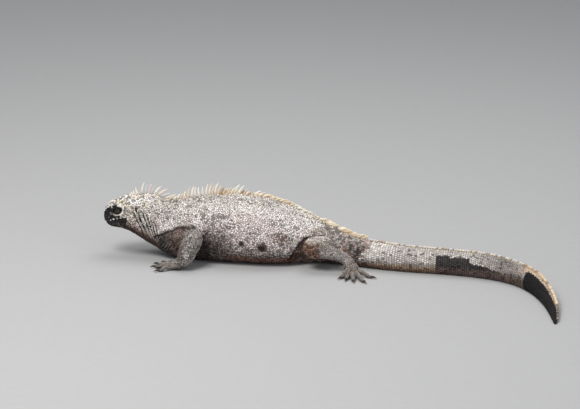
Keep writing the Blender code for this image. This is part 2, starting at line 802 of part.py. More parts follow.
def build_hindlimb(side, joints, skin, claw_material):
    mirror = 1 if side == "left" else -1
    hip, knee, ankle = (Vector(joints[k]) for k in ("hip", "knee", "ankle"))
    direction = (knee - ankle).normalized()
    arch = [knee + (ankle - knee) * share + Vector((0, 0, lift)) for share, lift in SHANK_ARCH]
    line = [knee + direction * 13, *arch, ankle - direction * 8]

    def shank(name, grow=0.0, material=None):
        return tube(name, line, SHANK_SIZES, LIMB_SIDES, material, grow=grow)

    grown = GAP / MM
    thigh_line = [hip, (hip + knee) / 2, knee + (knee - hip).normalized() * 10]
    thigh = tube(f"thigh_{side}", thigh_line, THIGH_SIZES, LIMB_SIDES, skin)
    combine(thigh, [shank("cutter_1", grown)], "DIFFERENCE")
    combine(thigh, [trunk_cutter_named("torso", "cutter_2")], "DIFFERENCE")
    combine(thigh, [trunk_cutter_named("tail_base", "cutter_3")], "DIFFERENCE")
    combine(thigh, [floor_cutter("cutter_4")], "DIFFERENCE")
    whole = shank(f"shank_{side}", material=skin)
    combine(whole, [floor_cutter("cutter_5")], "DIFFERENCE")
    combine(whole, [trunk_cutter_named("tail_base", "cutter_6")], "DIFFERENCE")
    combine(whole, [trunk_cutter_named("torso", "cutter_7")], "DIFFERENCE")
    foot = build_extremity(
        f"foot_{side}", f"claw_foot_{side}", FOOT, ankle, joints["foot_heading"], -mirror, skin, claw_material
    )
    combine(foot, [shank("cutter_8", grown)], "DIFFERENCE")


def main():
    for thing in list(bpy.data.objects):
        bpy.data.objects.remove(thing)
    skin = skin_material("skin", (0.36, 0.35, 0.33), 0.8)
    eye = skin_material("eye", (0.05, 0.035, 0.025), 0.15)
    claws = skin_material("claw", (0.035, 0.033, 0.032), 0.4)
    build_trunk(skin, eye)
    for side, joints in FORELIMBS.items():
        build_forelimb(side, joints, skin, claws)
    for side, joints in HINDLIMBS.items():
        build_hindlimb(side, joints, skin, claws)


main()
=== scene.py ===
import math
import random

import bmesh
import bpy
import numpy as np
from mathutils import Matrix, Vector
from mathutils.kdtree import KDTree


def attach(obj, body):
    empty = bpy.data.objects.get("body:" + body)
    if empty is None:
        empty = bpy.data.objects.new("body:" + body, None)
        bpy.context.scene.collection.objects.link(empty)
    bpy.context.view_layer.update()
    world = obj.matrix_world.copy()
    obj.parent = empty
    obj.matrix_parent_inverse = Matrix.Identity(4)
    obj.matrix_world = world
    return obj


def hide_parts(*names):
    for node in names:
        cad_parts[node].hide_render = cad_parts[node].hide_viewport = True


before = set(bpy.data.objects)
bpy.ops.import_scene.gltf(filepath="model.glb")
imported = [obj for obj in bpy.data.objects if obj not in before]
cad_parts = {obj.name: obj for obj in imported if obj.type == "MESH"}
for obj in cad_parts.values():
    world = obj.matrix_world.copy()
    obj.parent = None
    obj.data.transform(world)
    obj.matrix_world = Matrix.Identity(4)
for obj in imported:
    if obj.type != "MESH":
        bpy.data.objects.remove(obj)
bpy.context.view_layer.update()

# The skin, scales, crest, eyes and claws of a marine iguana at rest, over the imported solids.
# Lengths are millimetres unless a name says metres. The body's tables repeat those of the solids.
MM = 0.001
VOXEL = 0.00125  # metres between the skin's points
COAT = 0.35  # how far the skin lies inside the solids
BELLY_ALONG = 259.4  # the distance from the snout that lies over the origin

# Distance from the snout, half width, then heights of the underside, widest level and top: for the
# head, then the neck and shoulders, the trunk, and the tail.
TRUNK_STATIONS = (
    (0, 15.5, 57.5, 73, 90), (7, 17.5, 55, 73, 94.5), (15, 19.5, 53, 73.5, 100),
    (26, 23.5, 51.5, 75, 105), (42, 29.5, 47.5, 77, 110), (56, 32, 40, 74, 112.5),
    (74, 34.5, 28, 68, 114), (92, 39, 17.5, 60, 112.5), (112, 47, 6, 52, 105),
    (128, 53, 0, 49, 103.5), (152, 60, -4, 48, 108), (190, 68, -6.5, 50, 113.5),
    (245, 76, -7, 50, 117.5), (290, 79, -7, 46, 113.5), (330, 73, -6, 42, 103),
    (365, 58, -4, 38, 88), (395, 44, -2.5, 33, 75), (420, 37, -1.5, 29, 64.5),
    (445, 31, -1, 27, 57), (470, 26, -1, 24.5, 51), (560, 17.5, -1, 22.5, 46),
    (700, 12.5, -1, 21, 43.5), (800, 9.5, -1, 18.5, 37), (880, 7, -1, 12, 25),
    (950, 4.5, -1, 6.8, 14.5), (1008, 1.3, -0.4, 2.8, 6),
)
TRUNK_END = TRUNK_STATIONS[-1][0]
SNOUT_ROUNDING = 17
# By distance: the middle line's heading, the tail's lean to the left, and how square a section is.
HEADINGS = (
    (0, 6), (60, 5), (120, 0), (320, 0), (400, -16), (460, -24), (530, -17), (600, -9),
    (655, -12), (710, -21), (760, -39), (810, -61), (860, -76), (930, -86), (TRUNK_END, -92),
)
TAIL_LEAN = ((0, 0), (600, 0), (760, 18), (880, 48), (TRUNK_END, 62))
SECTION_POWER = ((0, 2.2), (60, 2.2), (130, 2.1), (300, 2.25), (480, 2.1), (900, 1.9))
# Distance and side angle of each swelling, its reach along and around, and its height.
SWELLINGS = {
    "brow": (22, 50, 13, 6, 2.6),
    "eye hollow": (23.5, 69, 8, 6, -1.8),
    "nostril mound": (6, 40, 4.5, 4.5, 1.6),
    "jowl": (46, 112, 13, 13, 3.0),
    "temple": (47, 60, 9, 8, 1.2),
    "shoulder fold": (138, 92, 22, 7, 5.0),
    "flank fold": (388, 78, 26, 8, 4.0),
}
LEAST_WIDTH = 12  # keeps the reaches around a narrow part of the trunk from growing
EYE_ALONG = 23.5
EYE_ANGLE = 66.5
EYE_RADIUS = 6.1
EYE_SUNK = 3.6  # the eyeball's centre below the head's surface
EYE_HALF_WIDTH = 5.3
EYE_HALF_HEIGHT = 3.8
EYE_CLEAR = 9.3  # where the lids' beads end and the head's scales begin
NOSTRIL_ALONG = 5.5
NOSTRIL_ANGLE = 41
EAR_ALONG = 57
EAR_ANGLE = 64
EAR_RADIUS = 4.2
MOUTH_LINE = ((0, 136), (4, 136), (8.5, 114), (14, 104), (20, 99), (28, 95.5), (41, 91))
MOUTH_FRONT = 3.4
MOUTH_CORNER = 41
# Each lip's angle from the mouth, its reach around and its height.
LIPS = ((-8, 3, 0.7), (10, 3.5, 0.6))
LIP_MIDDLE = 20
LIP_REACH = 18
TAIL_SCALES_START = 452
WHORL = 4.7  # spacing of the rings of scales on the tail
FLOOR_GAP = 0.8  # scales whose roots are lower than this are left out

# Each limb's joints from the trunk outwards, its hand's or foot's heading, and the way that its
# digits' angles count.
LIMBS = {
    "fore_left": (((-124, -34, 46), (-92, -80, 57.5), (-110, -95, 14.5)), 156, -1),
    "fore_right": (((-120, 34, 46), (-84, 83, 54), (-108, 104, 15)), 158, 1),
    "hind_left": (((157, -40, 33), (119, -80, 43), (191, -88, 16)), -74, -1),
    "hind_right": (((156, 6, 33), (112, 66, 42), (171, 97, 15.5)), 74, 1),
}
UPPER_ARM_SIZES = ((23, 24), (20, 22), (16.5, 17))
FOREARM_SIZES = ((18, 17.5), (22.5, 17.5), (21.5, 15.5), (16.5, 11))
THIGH_SIZES = ((24, 20), (22, 20), (17, 17))
SHANK_SIZES = ((16.5, 17), (15, 14.5), (10.5, 10), (9.5, 9))
# How the shank's middle arches over the straight line from knee to ankle: share of it, and height.
SHANK_ARCH = ((0.42, 6), (0.8, 8))
# How far the upper and lower lengths run past the joint between them, and past the ankle.
UPPER_PAST = 10
FOREARM_PAST = 14
SHANK_PAST = 13
ANKLE_PAST = 8
HAND = {
    "palm": (26, 17, 8.5),
    "lengths": (19, 26, 31, 29, 21),
    "angles": (40, 20, 2, -18, -52),
    "radius": 4.6,
}
FOOT = {
    "palm": (27, 14, 9),
    "lengths": (17, 25, 34, 42, 26),
    "angles": (50, 28, 10, -8, -44),
    "radius": 4.5,
}
CLAW_LENGTH = 11.5
CLAW_RADIUS = 2.5

# Runs of the crest: start and end along the body, spacing, heights, leans in degrees, colours.
CREST_RUNS = (
    (292, 341, 3.7, 11.5, 11.5, 50, 54, ("orange", "cream", "orange", "cream")),
    (341, 372, 4.3, 13, 13, 60, 64, ("white", "cream", "white")),
    (373, 391, 4.4, 6, 7, 52, 56, ("ochre", "tan")),
    (393, 421, 3.6, 16, 16, 55, 55, ("cream", "cream", "orange")),
    (429, 446, 3.6, 16.5, 16.5, 55, 55, ("cream", "cream", "orange")),
    (450, 464, 3.6, 16.5, 16, 55, 55, ("cream", "orange")),
    (468, 482, 3.6, 15.5, 13.5, 55, 56, ("orange", "cream")),
    (485, 780, 4.7, 5.4, 4.8, 50, 48, ("grey", "cream", "light", "tan")),
    (780, 812, 4.0, 5.4, 6.8, 46, 42, ("tan", "orange", "cream")),
    (812, 935, 3.7, 7.0, 6.6, 42, 40, ("orange", "tan", "orange", "cream")),
    (935, 996, 3.6, 5.4, 2.4, 44, 46, ("dark", "tan", "dark")),
)
# Single spines: distance from the snout, height, lean and colour. First the nape's, as the photo
# has them, then the larger ones of the back.
SPINES = (
    (50.5, 5.5, -4, "white"), (54.8, 8.5, -8, "white"), (61, 13.5, -15, "white"),
    (69, 23, 10, "white"), (76, 20, 4, "blue"), (81, 20, 9, "pink"), (86, 19, 16, "blue"),
    (91, 20, 28, "white"), (97.5, 23, 30, "cream"), (104, 20.5, 38, "blue"),
    (111.5, 18, 52, "cream"), (119, 15, 42, "white"),
    (127, 10, 40, "cream"), (133, 12, 34, "white"), (139.5, 12, 30, "orange"),
    (146, 14, 22, "cream"), (153.5, 21.5, 14, "cream"), (160.5, 22, 14, "white"),
    (166.5, 20, 8, "white"), (174, 18, -2, "white"), (180.5, 17.5, 2, "white"),
    (186.5, 23, 10, "white"), (192, 23.5, 14, "cream"), (197.5, 21, 18, "pink"),
    (202.5, 24.5, 16, "white"), (207.5, 18, 22, "orange"), (212.5, 15.5, 26, "tan"),
    (217, 13.5, 30, "orange"), (221.5, 14.5, 26, "cream"), (226.5, 15, 24, "orange"),
    (231.5, 15, 30, "cream"), (236.5, 21, 30, "white"), (241, 10, 34, "orange"),
    (245, 20.5, 30, "white"), (250.5, 9, 34, "tan"), (255, 12.5, 24, "orange"),
    (259.5, 9, 30, "cream"), (264, 7, 36, "tan"), (268.5, 7.5, 40, "orange"),
    (273.5, 15.5, 48, "white"), (278, 9.5, 46, "orange"), (282, 14.5, 50, "cream"),
    (286.5, 10, 48, "orange"), (290.5, 14, 52, "white"),
)
SPINE_SPACING = 5.0
BLUNT_SPINES = (390, 484)
SPINE_LEVELS = np.array([-0.2, 0.0, 0.14, 0.3, 0.46, 0.62, 0.76, 0.88, 0.96, 1.0])
SHARP_SIZES = (1.12, 1.04, 0.99, 0.94, 0.87, 0.77, 0.62, 0.42, 0.22, 0.03)
BLUNT_SIZES = (1.1, 1.05, 1.02, 1.0, 0.98, 0.95, 0.88, 0.72, 0.5, 0.1)
SPINE_SIDES = 8

# Lines through distances and side angles: the fold over the arm and the hollow in front of it, the
# fold in front of the thigh, the folds of the neck with their depths, the edge of the black face,
# and the pale line under the lid.
ARM_FOLD = (
    (94, 110), (104, 97), (112, 88.5), (120, 82), (130, 78), (140, 75.5), (164, 72), (178, 80),
    (186, 92),
)
GROIN_FOLD = (
    (340, 126), (347, 113), (354, 102), (360, 94), (367, 85), (377, 73), (386, 67), (400, 69),
)
NECK_FOLDS = (
    (((52, 62), (55, 76), (60, 90), (66, 104), (70, 118), (73, 132)), 1.4),
    (((61, 70), (65, 84), (71, 97), (77, 110), (82, 124), (86, 142)), 2.8),
    (((69, 66), (74, 80), (79, 92), (84, 105), (88, 118), (92, 136)), 3.0),
    (((75, 66), (80, 78), (85, 90), (88, 100), (93, 114), (97, 128)), 2.8),
    (((83, 70), (87, 80), (91, 90), (93, 100), (97, 112), (101, 122)), 2.6),
    (((91, 76), (95, 84), (98, 93), (99, 102), (102, 112)), 2.0),
    (((99, 80), (103, 88), (105, 96)), 1.0),
)
FACE_EDGE = (
    (-6, -40), (2, 12), (6, 27), (10, 34), (16, 41), (22, 49), (30, 57), (33.5, 62), (34, 66),
    (31, 71.5), (28, 77), (28, 82), (29, 88), (34, 90), (40, 92), (41, 101), (39, 109), (40, 121),
    (35, 134), (27, 146), (18, 162), (-6, 240),
)
FACE_TURN_MM = 0.506  # millimetres to a degree on a body 29 mm wide
LID_LINE = ((15, 71), (18, 74.5), (22, 77.5), (27, 76.5), (31, 72), (34, 66.5))
# The line on the upper arm where the shoulder's skin folds over it: place along the body, height.
SLEEVE_LINE = ((-134, 60), (-123, 67.5), (-113, 71.5), (-103, 73.5), (-94, 74.5), (-86, 73))

# Marks on the flanks: colour, strength, distance, side angle, reaches along and around, how rough
# and how soft the edge is, and whether the mark is on the left.
MARKS = (
    ("brown", 0.85, 292, 95, 8.6, 10, 0.9, 0.7, True),
    ("black", 0.85, 290, 97, 5.6, 7.5, 0.9, 0.7, True),
    ("brown", 0.85, 254, 93, 4.6, 4.6, 0.8, 0.7, True),
    ("black", 0.8, 252.5, 93, 3.2, 3.6, 0.5, 0.7, True),
    ("pinkish", 0.45, 328, 78, 16, 14, 4, 5, True),
    ("russet", 0.22, 332, 78, 11, 10, 4, 3, True),
    ("brown", 0.8, 262, 88, 8, 9, 1.5, 0.7, False),
)
# Clusters of darker scales on the back and flank: distance, side angle, reach, strength.
CLUSTERS = (
    (131, 7, 9, 0.4), (176, 12, 6, 0.4), (194, 8, 5, 0.35), (259, 17, 3.5, 0.45),
    (267, 24, 3.5, 0.35), (186, 54, 9, 0.35), (202, 49, 6, 0.4), (215, 51, 7, 0.42),
    (228, 55, 6, 0.4), (208, 68, 14, 0.3), (236, 70, 9, 0.22), (325, 78, 10, 0.22),
)
# By distance: the upper edge of the dark patch on the tail's side, and the comb's half width. By
# side angle: where the hips' field ends.
PATCH_EDGE = (
    (616, 120), (621, 48), (640, 46), (648, 55), (679, 56), (684, 78), (702, 84), (722, 94),
    (752, 112), (762, 160),
)
COMB_EDGE = ((790, 14), (805, 7.2), (850, 5.4), (915, 4.4), (940, 2.6), (960, -3))
HIP_EDGE = ((16, 500), (39, 500), (79, 489), (119, 476), (150, 468))

# Scales' sections as rings of (radius, height) shares, and the width of a scale on the unwrap.
SCALE_RINGS = ((1.04, -0.3), (0.72, 0.66))
CONE_RINGS = ((1.05, -0.25), (0.93, 0.3), (0.68, 0.68), (0.34, 0.93))
PATCH = 0.003
PLATE_POINTS = 5
# The beads round an eye: place from the lids' edge to the skin, count and radius.
BEAD_ROWS = (
    (0.16, 34, 0.6), (0.3, 36, 0.66), (0.44, 38, 0.72), (0.58, 38, 0.8), (0.73, 38, 0.9),
    (0.88, 38, 1.0), (1.04, 38, 1.1),
)

# The photograph's camera: degrees, metres, pixels, and the pixel of the origin.
CAMERA_TILT, CAMERA_ROLL, CAMERA_DISTANCE = 16, 1.5, 5.0
PHOTO_SIZE = (580, 409)
PHOTO_ORIGIN = (245.0, 255.9)
PIXEL_MM = 1.84
SENSOR = 36
LIGHTS = (
    ("key", (-0.8, -1.2, 2.1), 1.0, 40, (1.0, 0.985, 0.965)),
    ("fill", (1.9, -2.0, 1.1), 2.4, 13, (0.95, 0.97, 1.0)),
    ("top", (0.3, 0.7, 2.2), 1.6, 18, (1.0, 1.0, 1.0)),
)


def srgb(red, green, blue):
    """A colour given as 0 to 255, as linear numbers."""
    part = np.array([red, green, blue]) / 255
    return np.where(part <= 0.04045, part / 12.92, ((part + 0.055) / 1.055) ** 2.4)


COLOURS = {
    "chalk": srgb(246, 240, 232),
    "light": srgb(228, 220, 214),
    "grey": srgb(168, 161, 155),
    "slate": srgb(118, 110, 106),
    "dark": srgb(64, 55, 53),
    "black": srgb(30, 26, 27),
    "plum": srgb(66, 48, 52),
    "brown": srgb(92, 64, 50),
    "russet": srgb(128, 84, 60),
    "tan": srgb(176, 150, 122),
    "ochre": srgb(206, 190, 152),
    "pinkish": srgb(178, 150, 142),
    "rose": srgb(224, 205, 203),
    "white": srgb(246, 240, 228),
    "cream": srgb(243, 230, 206),
    "orange": srgb(228, 203, 173),
    "pink": srgb(230, 210, 202),
    "blue": srgb(204, 207, 211),
}


def column(rows, index):
    return [row[index] for row in rows]


def smooth(at, knots, values):
    """Values at the knots, joined by a monotone cubic curve."""
    x = np.asarray(knots, float)
    y = np.asarray(values, float)
    at = np.clip(np.asarray(at, float), x[0], x[-1])
    step = np.diff(x)
    slope = np.diff(y) / step
    tangent = np.zeros_like(y)
    same_way = slope[:-1] * slope[1:] > 0
    mean = 2 * slope[:-1] * slope[1:] / np.where(same_way, slope[:-1] + slope[1:], 1)
    tangent[1:-1] = np.where(same_way, mean, 0)
    tangent[0] = slope[0]
    tangent[-1] = slope[-1]
    i = np.clip(np.searchsorted(x, at, side="right") - 1, 0, len(x) - 2)
    t = (at - x[i]) / step[i]
    return (
        y[i] * (1 + 2 * t) * (1 - t) ** 2
        + tangent[i] * step[i] * t * (1 - t) ** 2
        + y[i + 1] * t * t * (3 - 2 * t)
        + tangent[i + 1] * step[i] * t * t * (t - 1)
    )


def curve(rows, at, index=1):
    """A column of a table at the places `at`, which its first column counts."""
    return smooth(at, column(rows, 0), column(rows, index))


def ramp(x, low, high):
    """0 below `low`, 1 above `high`, eased between."""
    t = np.clip((np.asarray(x, float) - low) / (high - low), 0, 1)
    return t * t * (3 - 2 * t)


def fade(x, low, high):
    """1 below `low`, 0 above `high`, eased between."""
    return 1 - ramp(x, low, high)


def band(x, rise, full, fall, end):
    """1 from `full` to `fall`, eased down to 0 at `rise` and at `end`."""
    return ramp(x, rise, full) * fade(x, fall, end)


def hill(x, width):
    return np.exp(-((np.asarray(x, float) / width) ** 2))


def mouth_angle(along):
    return curve(MOUTH_LINE, along)


def noise(points, size, seed):
    """Smooth noise from 0 to 1 over points in metres, in blobs about `size` millimetres across."""
    p = np.asarray(points, float) / (size * MM) + 1000.0
    whole = np.floor(p).astype(np.int64)
    part = p - whole
    part = part * part * (3 - 2 * part)
    total = np.zeros(p.shape[:-1])
    for corner in range(8):
        shift = np.array([corner & 1, corner >> 1 & 1, corner >> 2 & 1])
        x, y, z = np.moveaxis(whole + shift, -1, 0)
        h = (x * 73856093) ^ (y * 19349663) ^ (z * 83492791) ^ (seed * 2654435761)
        h = (h & 0xFFFFFFFF) * 1274126177 & 0xFFFFFFFF
        h = ((h ^ (h >> 15)) * 2246822519) & 0xFFFFFFFF
        h = (h ^ (h >> 13)) / 0xFFFFFFFF
        weight = np.where(shift == 1, part, 1 - part).prod(axis=-1)
        total += h * weight
    return total


def unit(vectors):
    return vectors / np.maximum(np.linalg.norm(vectors, axis=-1, keepdims=True), 1e-12)


def turns(sides):
    return 2 * np.pi * np.arange(sides) / sides


def circle(turn):
    return np.stack([np.cos(turn), np.sin(turn)], -1)


def trunk_line():
    """The trunk's middle line in plan: distances from the snout, with their x and y."""
    along = np.arange(0, TRUNK_END + 1, 1.0)
    heading = np.radians(curve(HEADINGS, along))
    line = [along]
    for way in (np.cos(heading), np.sin(heading)):
        place = np.concatenate([[0], np.cumsum((way[1:] + way[:-1]) / 2)])
        line.append(place - np.interp(BELLY_ALONG, along, place))
    return line


LINE = trunk_line()


def closing(distance, length):
    t = 1 - np.clip(distance / length, 0, 1)
    return (1 - t**2.2) ** (1 / 2.2)


def trunk_width(along):
    return curve(TRUNK_STATIONS, along) * closing(along, SNOUT_ROUNDING)


def swelling(along, side_angle, half_width):
    """How far the brow, jowls, lips and shoulders stand out of the plain trunk."""
    width = np.maximum(half_width, LEAST_WIDTH)
    lips = [
        (LIP_MIDDLE, mouth_angle(along), around, LIP_REACH, reach_around, height)
        for around, reach_around, height in LIPS
    ]
    plain = [(row[0], 0, *row[1:]) for row in SWELLINGS.values()]
    total = np.zeros(np.broadcast(along, side_angle).shape)
    for centre, line, around, reach_along, reach_around, height in plain + lips:
        across = np.radians(side_angle - line - around) * width / reach_around
        total = total + height * hill(along - centre, reach_along) * hill(across, 1)
    return total


def trunk_surface(along, angle, grow=0.0):
    """Points of the trunk's surface in metres, at distances from the snout and angles in degrees
    from the top towards the left side, moved out by `grow`."""
    along = np.clip(np.asarray(along, float), 0, TRUNK_END)
    angle = np.asarray(angle, float)
    width, low, belt, high = (curve(TRUNK_STATIONS, along, i) for i in (1, 2, 3, 4))
    nose = closing(along, SNOUT_ROUNDING)
    above = (high - belt) * nose
    below = (belt - low) * nose
    width = width * nose
    lean = np.radians(curve(TAIL_LEAN, along))
    centre = low + (1 - nose) * (belt - low)
    centre = centre + np.sqrt((below * np.cos(lean)) ** 2 + (width * np.sin(lean)) ** 2)
    power = curve(SECTION_POWER, along)
    turn = np.radians(angle)
    side = -np.sign(np.sin(turn)) * np.abs(np.sin(turn)) ** (2 / power)
    up = np.sign(np.cos(turn)) * np.abs(np.cos(turn)) ** (2 / power)
    side_angle = np.abs((angle + 180) % 360 - 180)
    lift = swelling(along, side_angle, width) * nose
    depth = np.where(up >= 0, above, below)
    radius = np.maximum(np.hypot(side * width, up * depth), 1e-6)
    swell = 1 + (lift + grow) / radius
    across = side * width * swell
    rise = up * depth * swell
    heading = np.radians(curve(HEADINGS, along))
    sideways = across * np.cos(lean) + rise * np.sin(lean)
    x = np.interp(along, LINE[0], LINE[1]) - np.sin(heading) * sideways
    y = np.interp(along, LINE[0], LINE[2]) + np.cos(heading) * sideways
    z = np.maximum(centre - across * np.sin(lean) + rise * np.cos(lean), 0.0)
    return np.stack(np.broadcast_arrays(x, y, z), axis=-1) * MM


def trunk_frames(along, angle):
    """Surface points with their outward and tailward directions."""
    here = trunk_surface(along, angle)
    back = unit(trunk_surface(along + 0.6, angle) - trunk_surface(along - 0.6, angle))
    turn = unit(trunk_surface(along, angle + 1.5) - trunk_surface(along, angle - 1.5))
    return here, unit(np.cross(turn, back)), back


def frame_at(s, a):
    """One place of the surface with its outward and tailward directions."""
    return [v[0] for v in trunk_frames(np.array([s]), np.array([a]))]


class Tube:
    """A tapering limb along a line of centres, with a half width and half height at each place."""

    def __init__(self, centres, sizes, up=(0, 0, 1), closed=True, knuckles=(), step=1.5):
        centres = np.asarray(centres, float)
        legs = np.linalg.norm(np.diff(centres, axis=0), axis=1)
        lengths = np.concatenate([[0], np.cumsum(legs)])
        self.total = lengths[-1]
        first, last = sizes[0][0], sizes[-1][0]
        knots = np.linspace(0, self.total, len(sizes))
        cap = np.array([0, 0.02, 0.07, 0.16, 0.3, 0.5, 0.75]) if closed else np.zeros(1)
        start = cap * first
        end = self.total - cap[::-1] * last
        at = np.concatenate([start, np.arange(start[-1] + step, end[0] - step / 2, step), end])
        self.at = at

        def line(shift):
            return np.stack([smooth(at + shift, lengths, centres[:, i]) for i in range(3)], -1)

        self.centre = line(0)
        self.along = unit(line(1) - line(-1))
        self.across = unit(np.cross(self.along, np.asarray(up, float)))
        self.over = np.cross(self.across, self.along)
        scale = np.ones_like(at)
        if closed:
            for share in (at / first, (self.total - at) / last):
                scale *= np.sqrt(np.clip(1 - np.clip(1 - share, 0, 1) ** 2, 0, 1))
        for place, reach, swell in knuckles:
            scale *= 1 + swell * hill(at - place * self.total, reach)
        self.half_width, self.half_height = (
            np.maximum(smooth(at, knots, column(sizes, i)) * scale, 0.02) for i in (0, 1)
        )

    def block(self, sides, grow):
        """Its surface as points in metres and faces."""
        turn = 2 * np.pi * (np.arange(sides) + 0.5) / sides
        wide = np.maximum(self.half_width + grow, 0.02)[:, None, None]
        high = np.maximum(self.half_height + grow, 0.02)[:, None, None]
        offset = self.across[:, None] * wide * np.cos(turn)[None, :, None]
        offset = offset + self.over[:, None] * high * np.sin(turn)[None, :, None]
        points = (self.centre[:, None] + offset).reshape(-1, 3) * MM
        return points, tube_faces(len(self.at), sides)

    def place(self, at, turn):
        """A point of the surface, its outward direction and the direction along."""
        i = np.interp(at, self.at, np.arange(len(self.at)))
        low = np.floor(i).astype(int)
        high = np.minimum(low + 1, len(self.at) - 1)
        part = (i - low)[..., None]
        centre, along, across, over = (
            v[low] * (1 - part) + v[high] * part
            for v in (self.centre, self.along, self.across, self.over)
        )
        wide = np.interp(at, self.at, self.half_width)[..., None]
        tall = np.interp(at, self.at, self.half_height)[..., None]
        c, s = np.cos(turn)[..., None], np.sin(turn)[..., None]
        point = (centre + across * wide * c + over * tall * s) * MM
        return point, unit(across * c * tall + over * s * wide), along

    def fields(self, points):
        """How far points in metres lie outside the tube, how far along it, and their turn round."""
        p = points / MM
        apart = np.full(len(p), 1e3)
        along, turn = np.zeros((2, len(p)))
        reach = self.half_width.max() + 12
        low = self.centre.min(0) - reach
        high = self.centre.max(0) + reach
        near = np.where(((p > low) & (p < high)).all(1))[0]
        for part in np.array_split(near, max(1, len(near) // 20000)):
            if not len(part):
                continue
            gap = ((p[part, None] - self.centre[None]) ** 2).sum(-1)
            k = gap.argmin(1)
            offset = p[part] - self.centre[k]
            wide, tall, ahead = (
                (offset * way[k]).sum(1) for way in (self.across, self.over, self.along)
            )
            share = np.hypot(wide / self.half_width[k], tall / self.half_height[k])
            reach = np.hypot(wide, tall) / np.maximum(share, 1e-6)
            side = (share - 1) * np.minimum(reach, 40)
            apart[part] = np.where(np.abs(ahead) > 2, np.hypot(np.maximum(side, 0), ahead), side)
            along[part] = self.at[k] + ahead
            turn[part] = np.arctan2(tall, wide)
        return apart, along, turn


def tube_faces(rings, sides):
    i = np.arange(rings - 1)[:, None] * sides
    j = np.arange(sides)[None]
    k = (j + 1) % sides
    quads = np.stack([i + j, i + k, i + k + sides, i + j + sides], -1).reshape(-1, 4)
    caps = np.stack([np.arange(sides)[::-1], (rings - 1) * sides + np.arange(sides)])
    return [quads, caps]


def mesh_object(name, points, blocks, material, colours=None, uvs=None):
    """A mesh from an array of points and blocks of faces, each block with one count of corners."""
    mesh = bpy.data.meshes.new(name)
    mesh.vertices.add(len(points))
    mesh.vertices.foreach_set("co", np.asarray(points, np.float32).ravel())
    corners = np.concatenate([block.ravel() for block in blocks]).astype(np.int32)
    counts = np.concatenate([np.full(len(b), b.shape[1]) for b in blocks])
    starts = np.concatenate([[0], np.cumsum(counts)[:-1]]).astype(np.int32)
    mesh.loops.add(len(corners))
    mesh.loops.foreach_set("vertex_index", corners)
    mesh.polygons.add(len(counts))
    mesh.polygons.foreach_set("loop_start", starts)
    mesh.update(calc_edges=True)
    mesh.shade_smooth()
    if colours is not None:
        set_tint(mesh, colours)
    if uvs is not None:
        layer = mesh.uv_layers.new(name="OFBake")
        layer.uv.foreach_set("vector", np.asarray(uvs, np.float32)[corners].ravel())
    if material:
        mesh.materials.append(material)
    thing = bpy.data.objects.new(name, mesh)
    bpy.context.scene.collection.objects.link(thing)
    return thing


class Gathered:
    """Many small forms of one mesh: their points, faces, colours and places on the unwrap."""

    def __init__(self):
        self.parts = []
        self.faces = []
        self.count = 0

    def add(self, points, blocks, colours, uvs):
        self.parts.append((points, colours, uvs))
        self.faces += [block + self.count for block in blocks]
        self.count += len(points)

    def mesh(self, name, material):
        points, colours, uvs = (np.concatenate(column(self.parts, i)) for i in range(3))
        blocks = [
            np.concatenate([f for f in self.faces if f.shape[1] == corners])
            for corners in sorted({f.shape[1] for f in self.faces})
        ]
        return mesh_object(name, points, blocks, material, colours, uvs)


def set_tint(mesh, colours):
    layer = mesh.color_attributes.new("tint", "FLOAT_COLOR", "POINT")
    rgba = np.ones((len(mesh.vertices), 4), np.float32)
    rgba[:, :3] = np.clip(colours, 0, 1)
    layer.data.foreach_set("color", rgba.ravel())


def read(items, key, width, kind=np.float32):
    """One property of a mesh's points or edges, `width` numbers to a row."""
    flat = np.empty(len(items) * width, kind)
    items.foreach_get(key, flat)
    return flat.reshape(-1, width).astype(np.int32 if kind is np.int32 else float)


def plan_axes(heading):
    ahead = np.array([math.cos(heading), math.sin(heading), 0])
    return ahead, np.array([-ahead[1], ahead[0], 0])


def limb_tubes():
    """The tubes of each limb by name, its digits' among them."""
    made = {}
    for name, (joints, heading, mirror) in LIMBS.items():
        top, middle, end = (np.array(j, float) for j in joints)
        down = unit(end - middle)
        upper = [top, (top + middle) / 2, middle + unit(middle - top) * UPPER_PAST]
        last = end + down * ANKLE_PAST
        if name.startswith("fore"):
            lower = [middle - down * FOREARM_PAST, middle + (end - middle) * 0.5, last]
            tubes = {
                "upper": Tube(upper, UPPER_ARM_SIZES),
                "lower": Tube(lower, FOREARM_SIZES, up=(-1, 0, 0.3)),
            }
            plan = HAND
        else:
            arch = [middle + (end - middle) * share + [0, 0, lift] for share, lift in SHANK_ARCH]
            lower = [middle - down * SHANK_PAST, *arch, last]
            tubes = {"upper": Tube(upper, THIGH_SIZES), "lower": Tube(lower, SHANK_SIZES)}
            plan = FOOT
        tubes.update(extremity_tubes(plan, end, math.radians(heading), mirror))
        made[name] = tubes
    return made


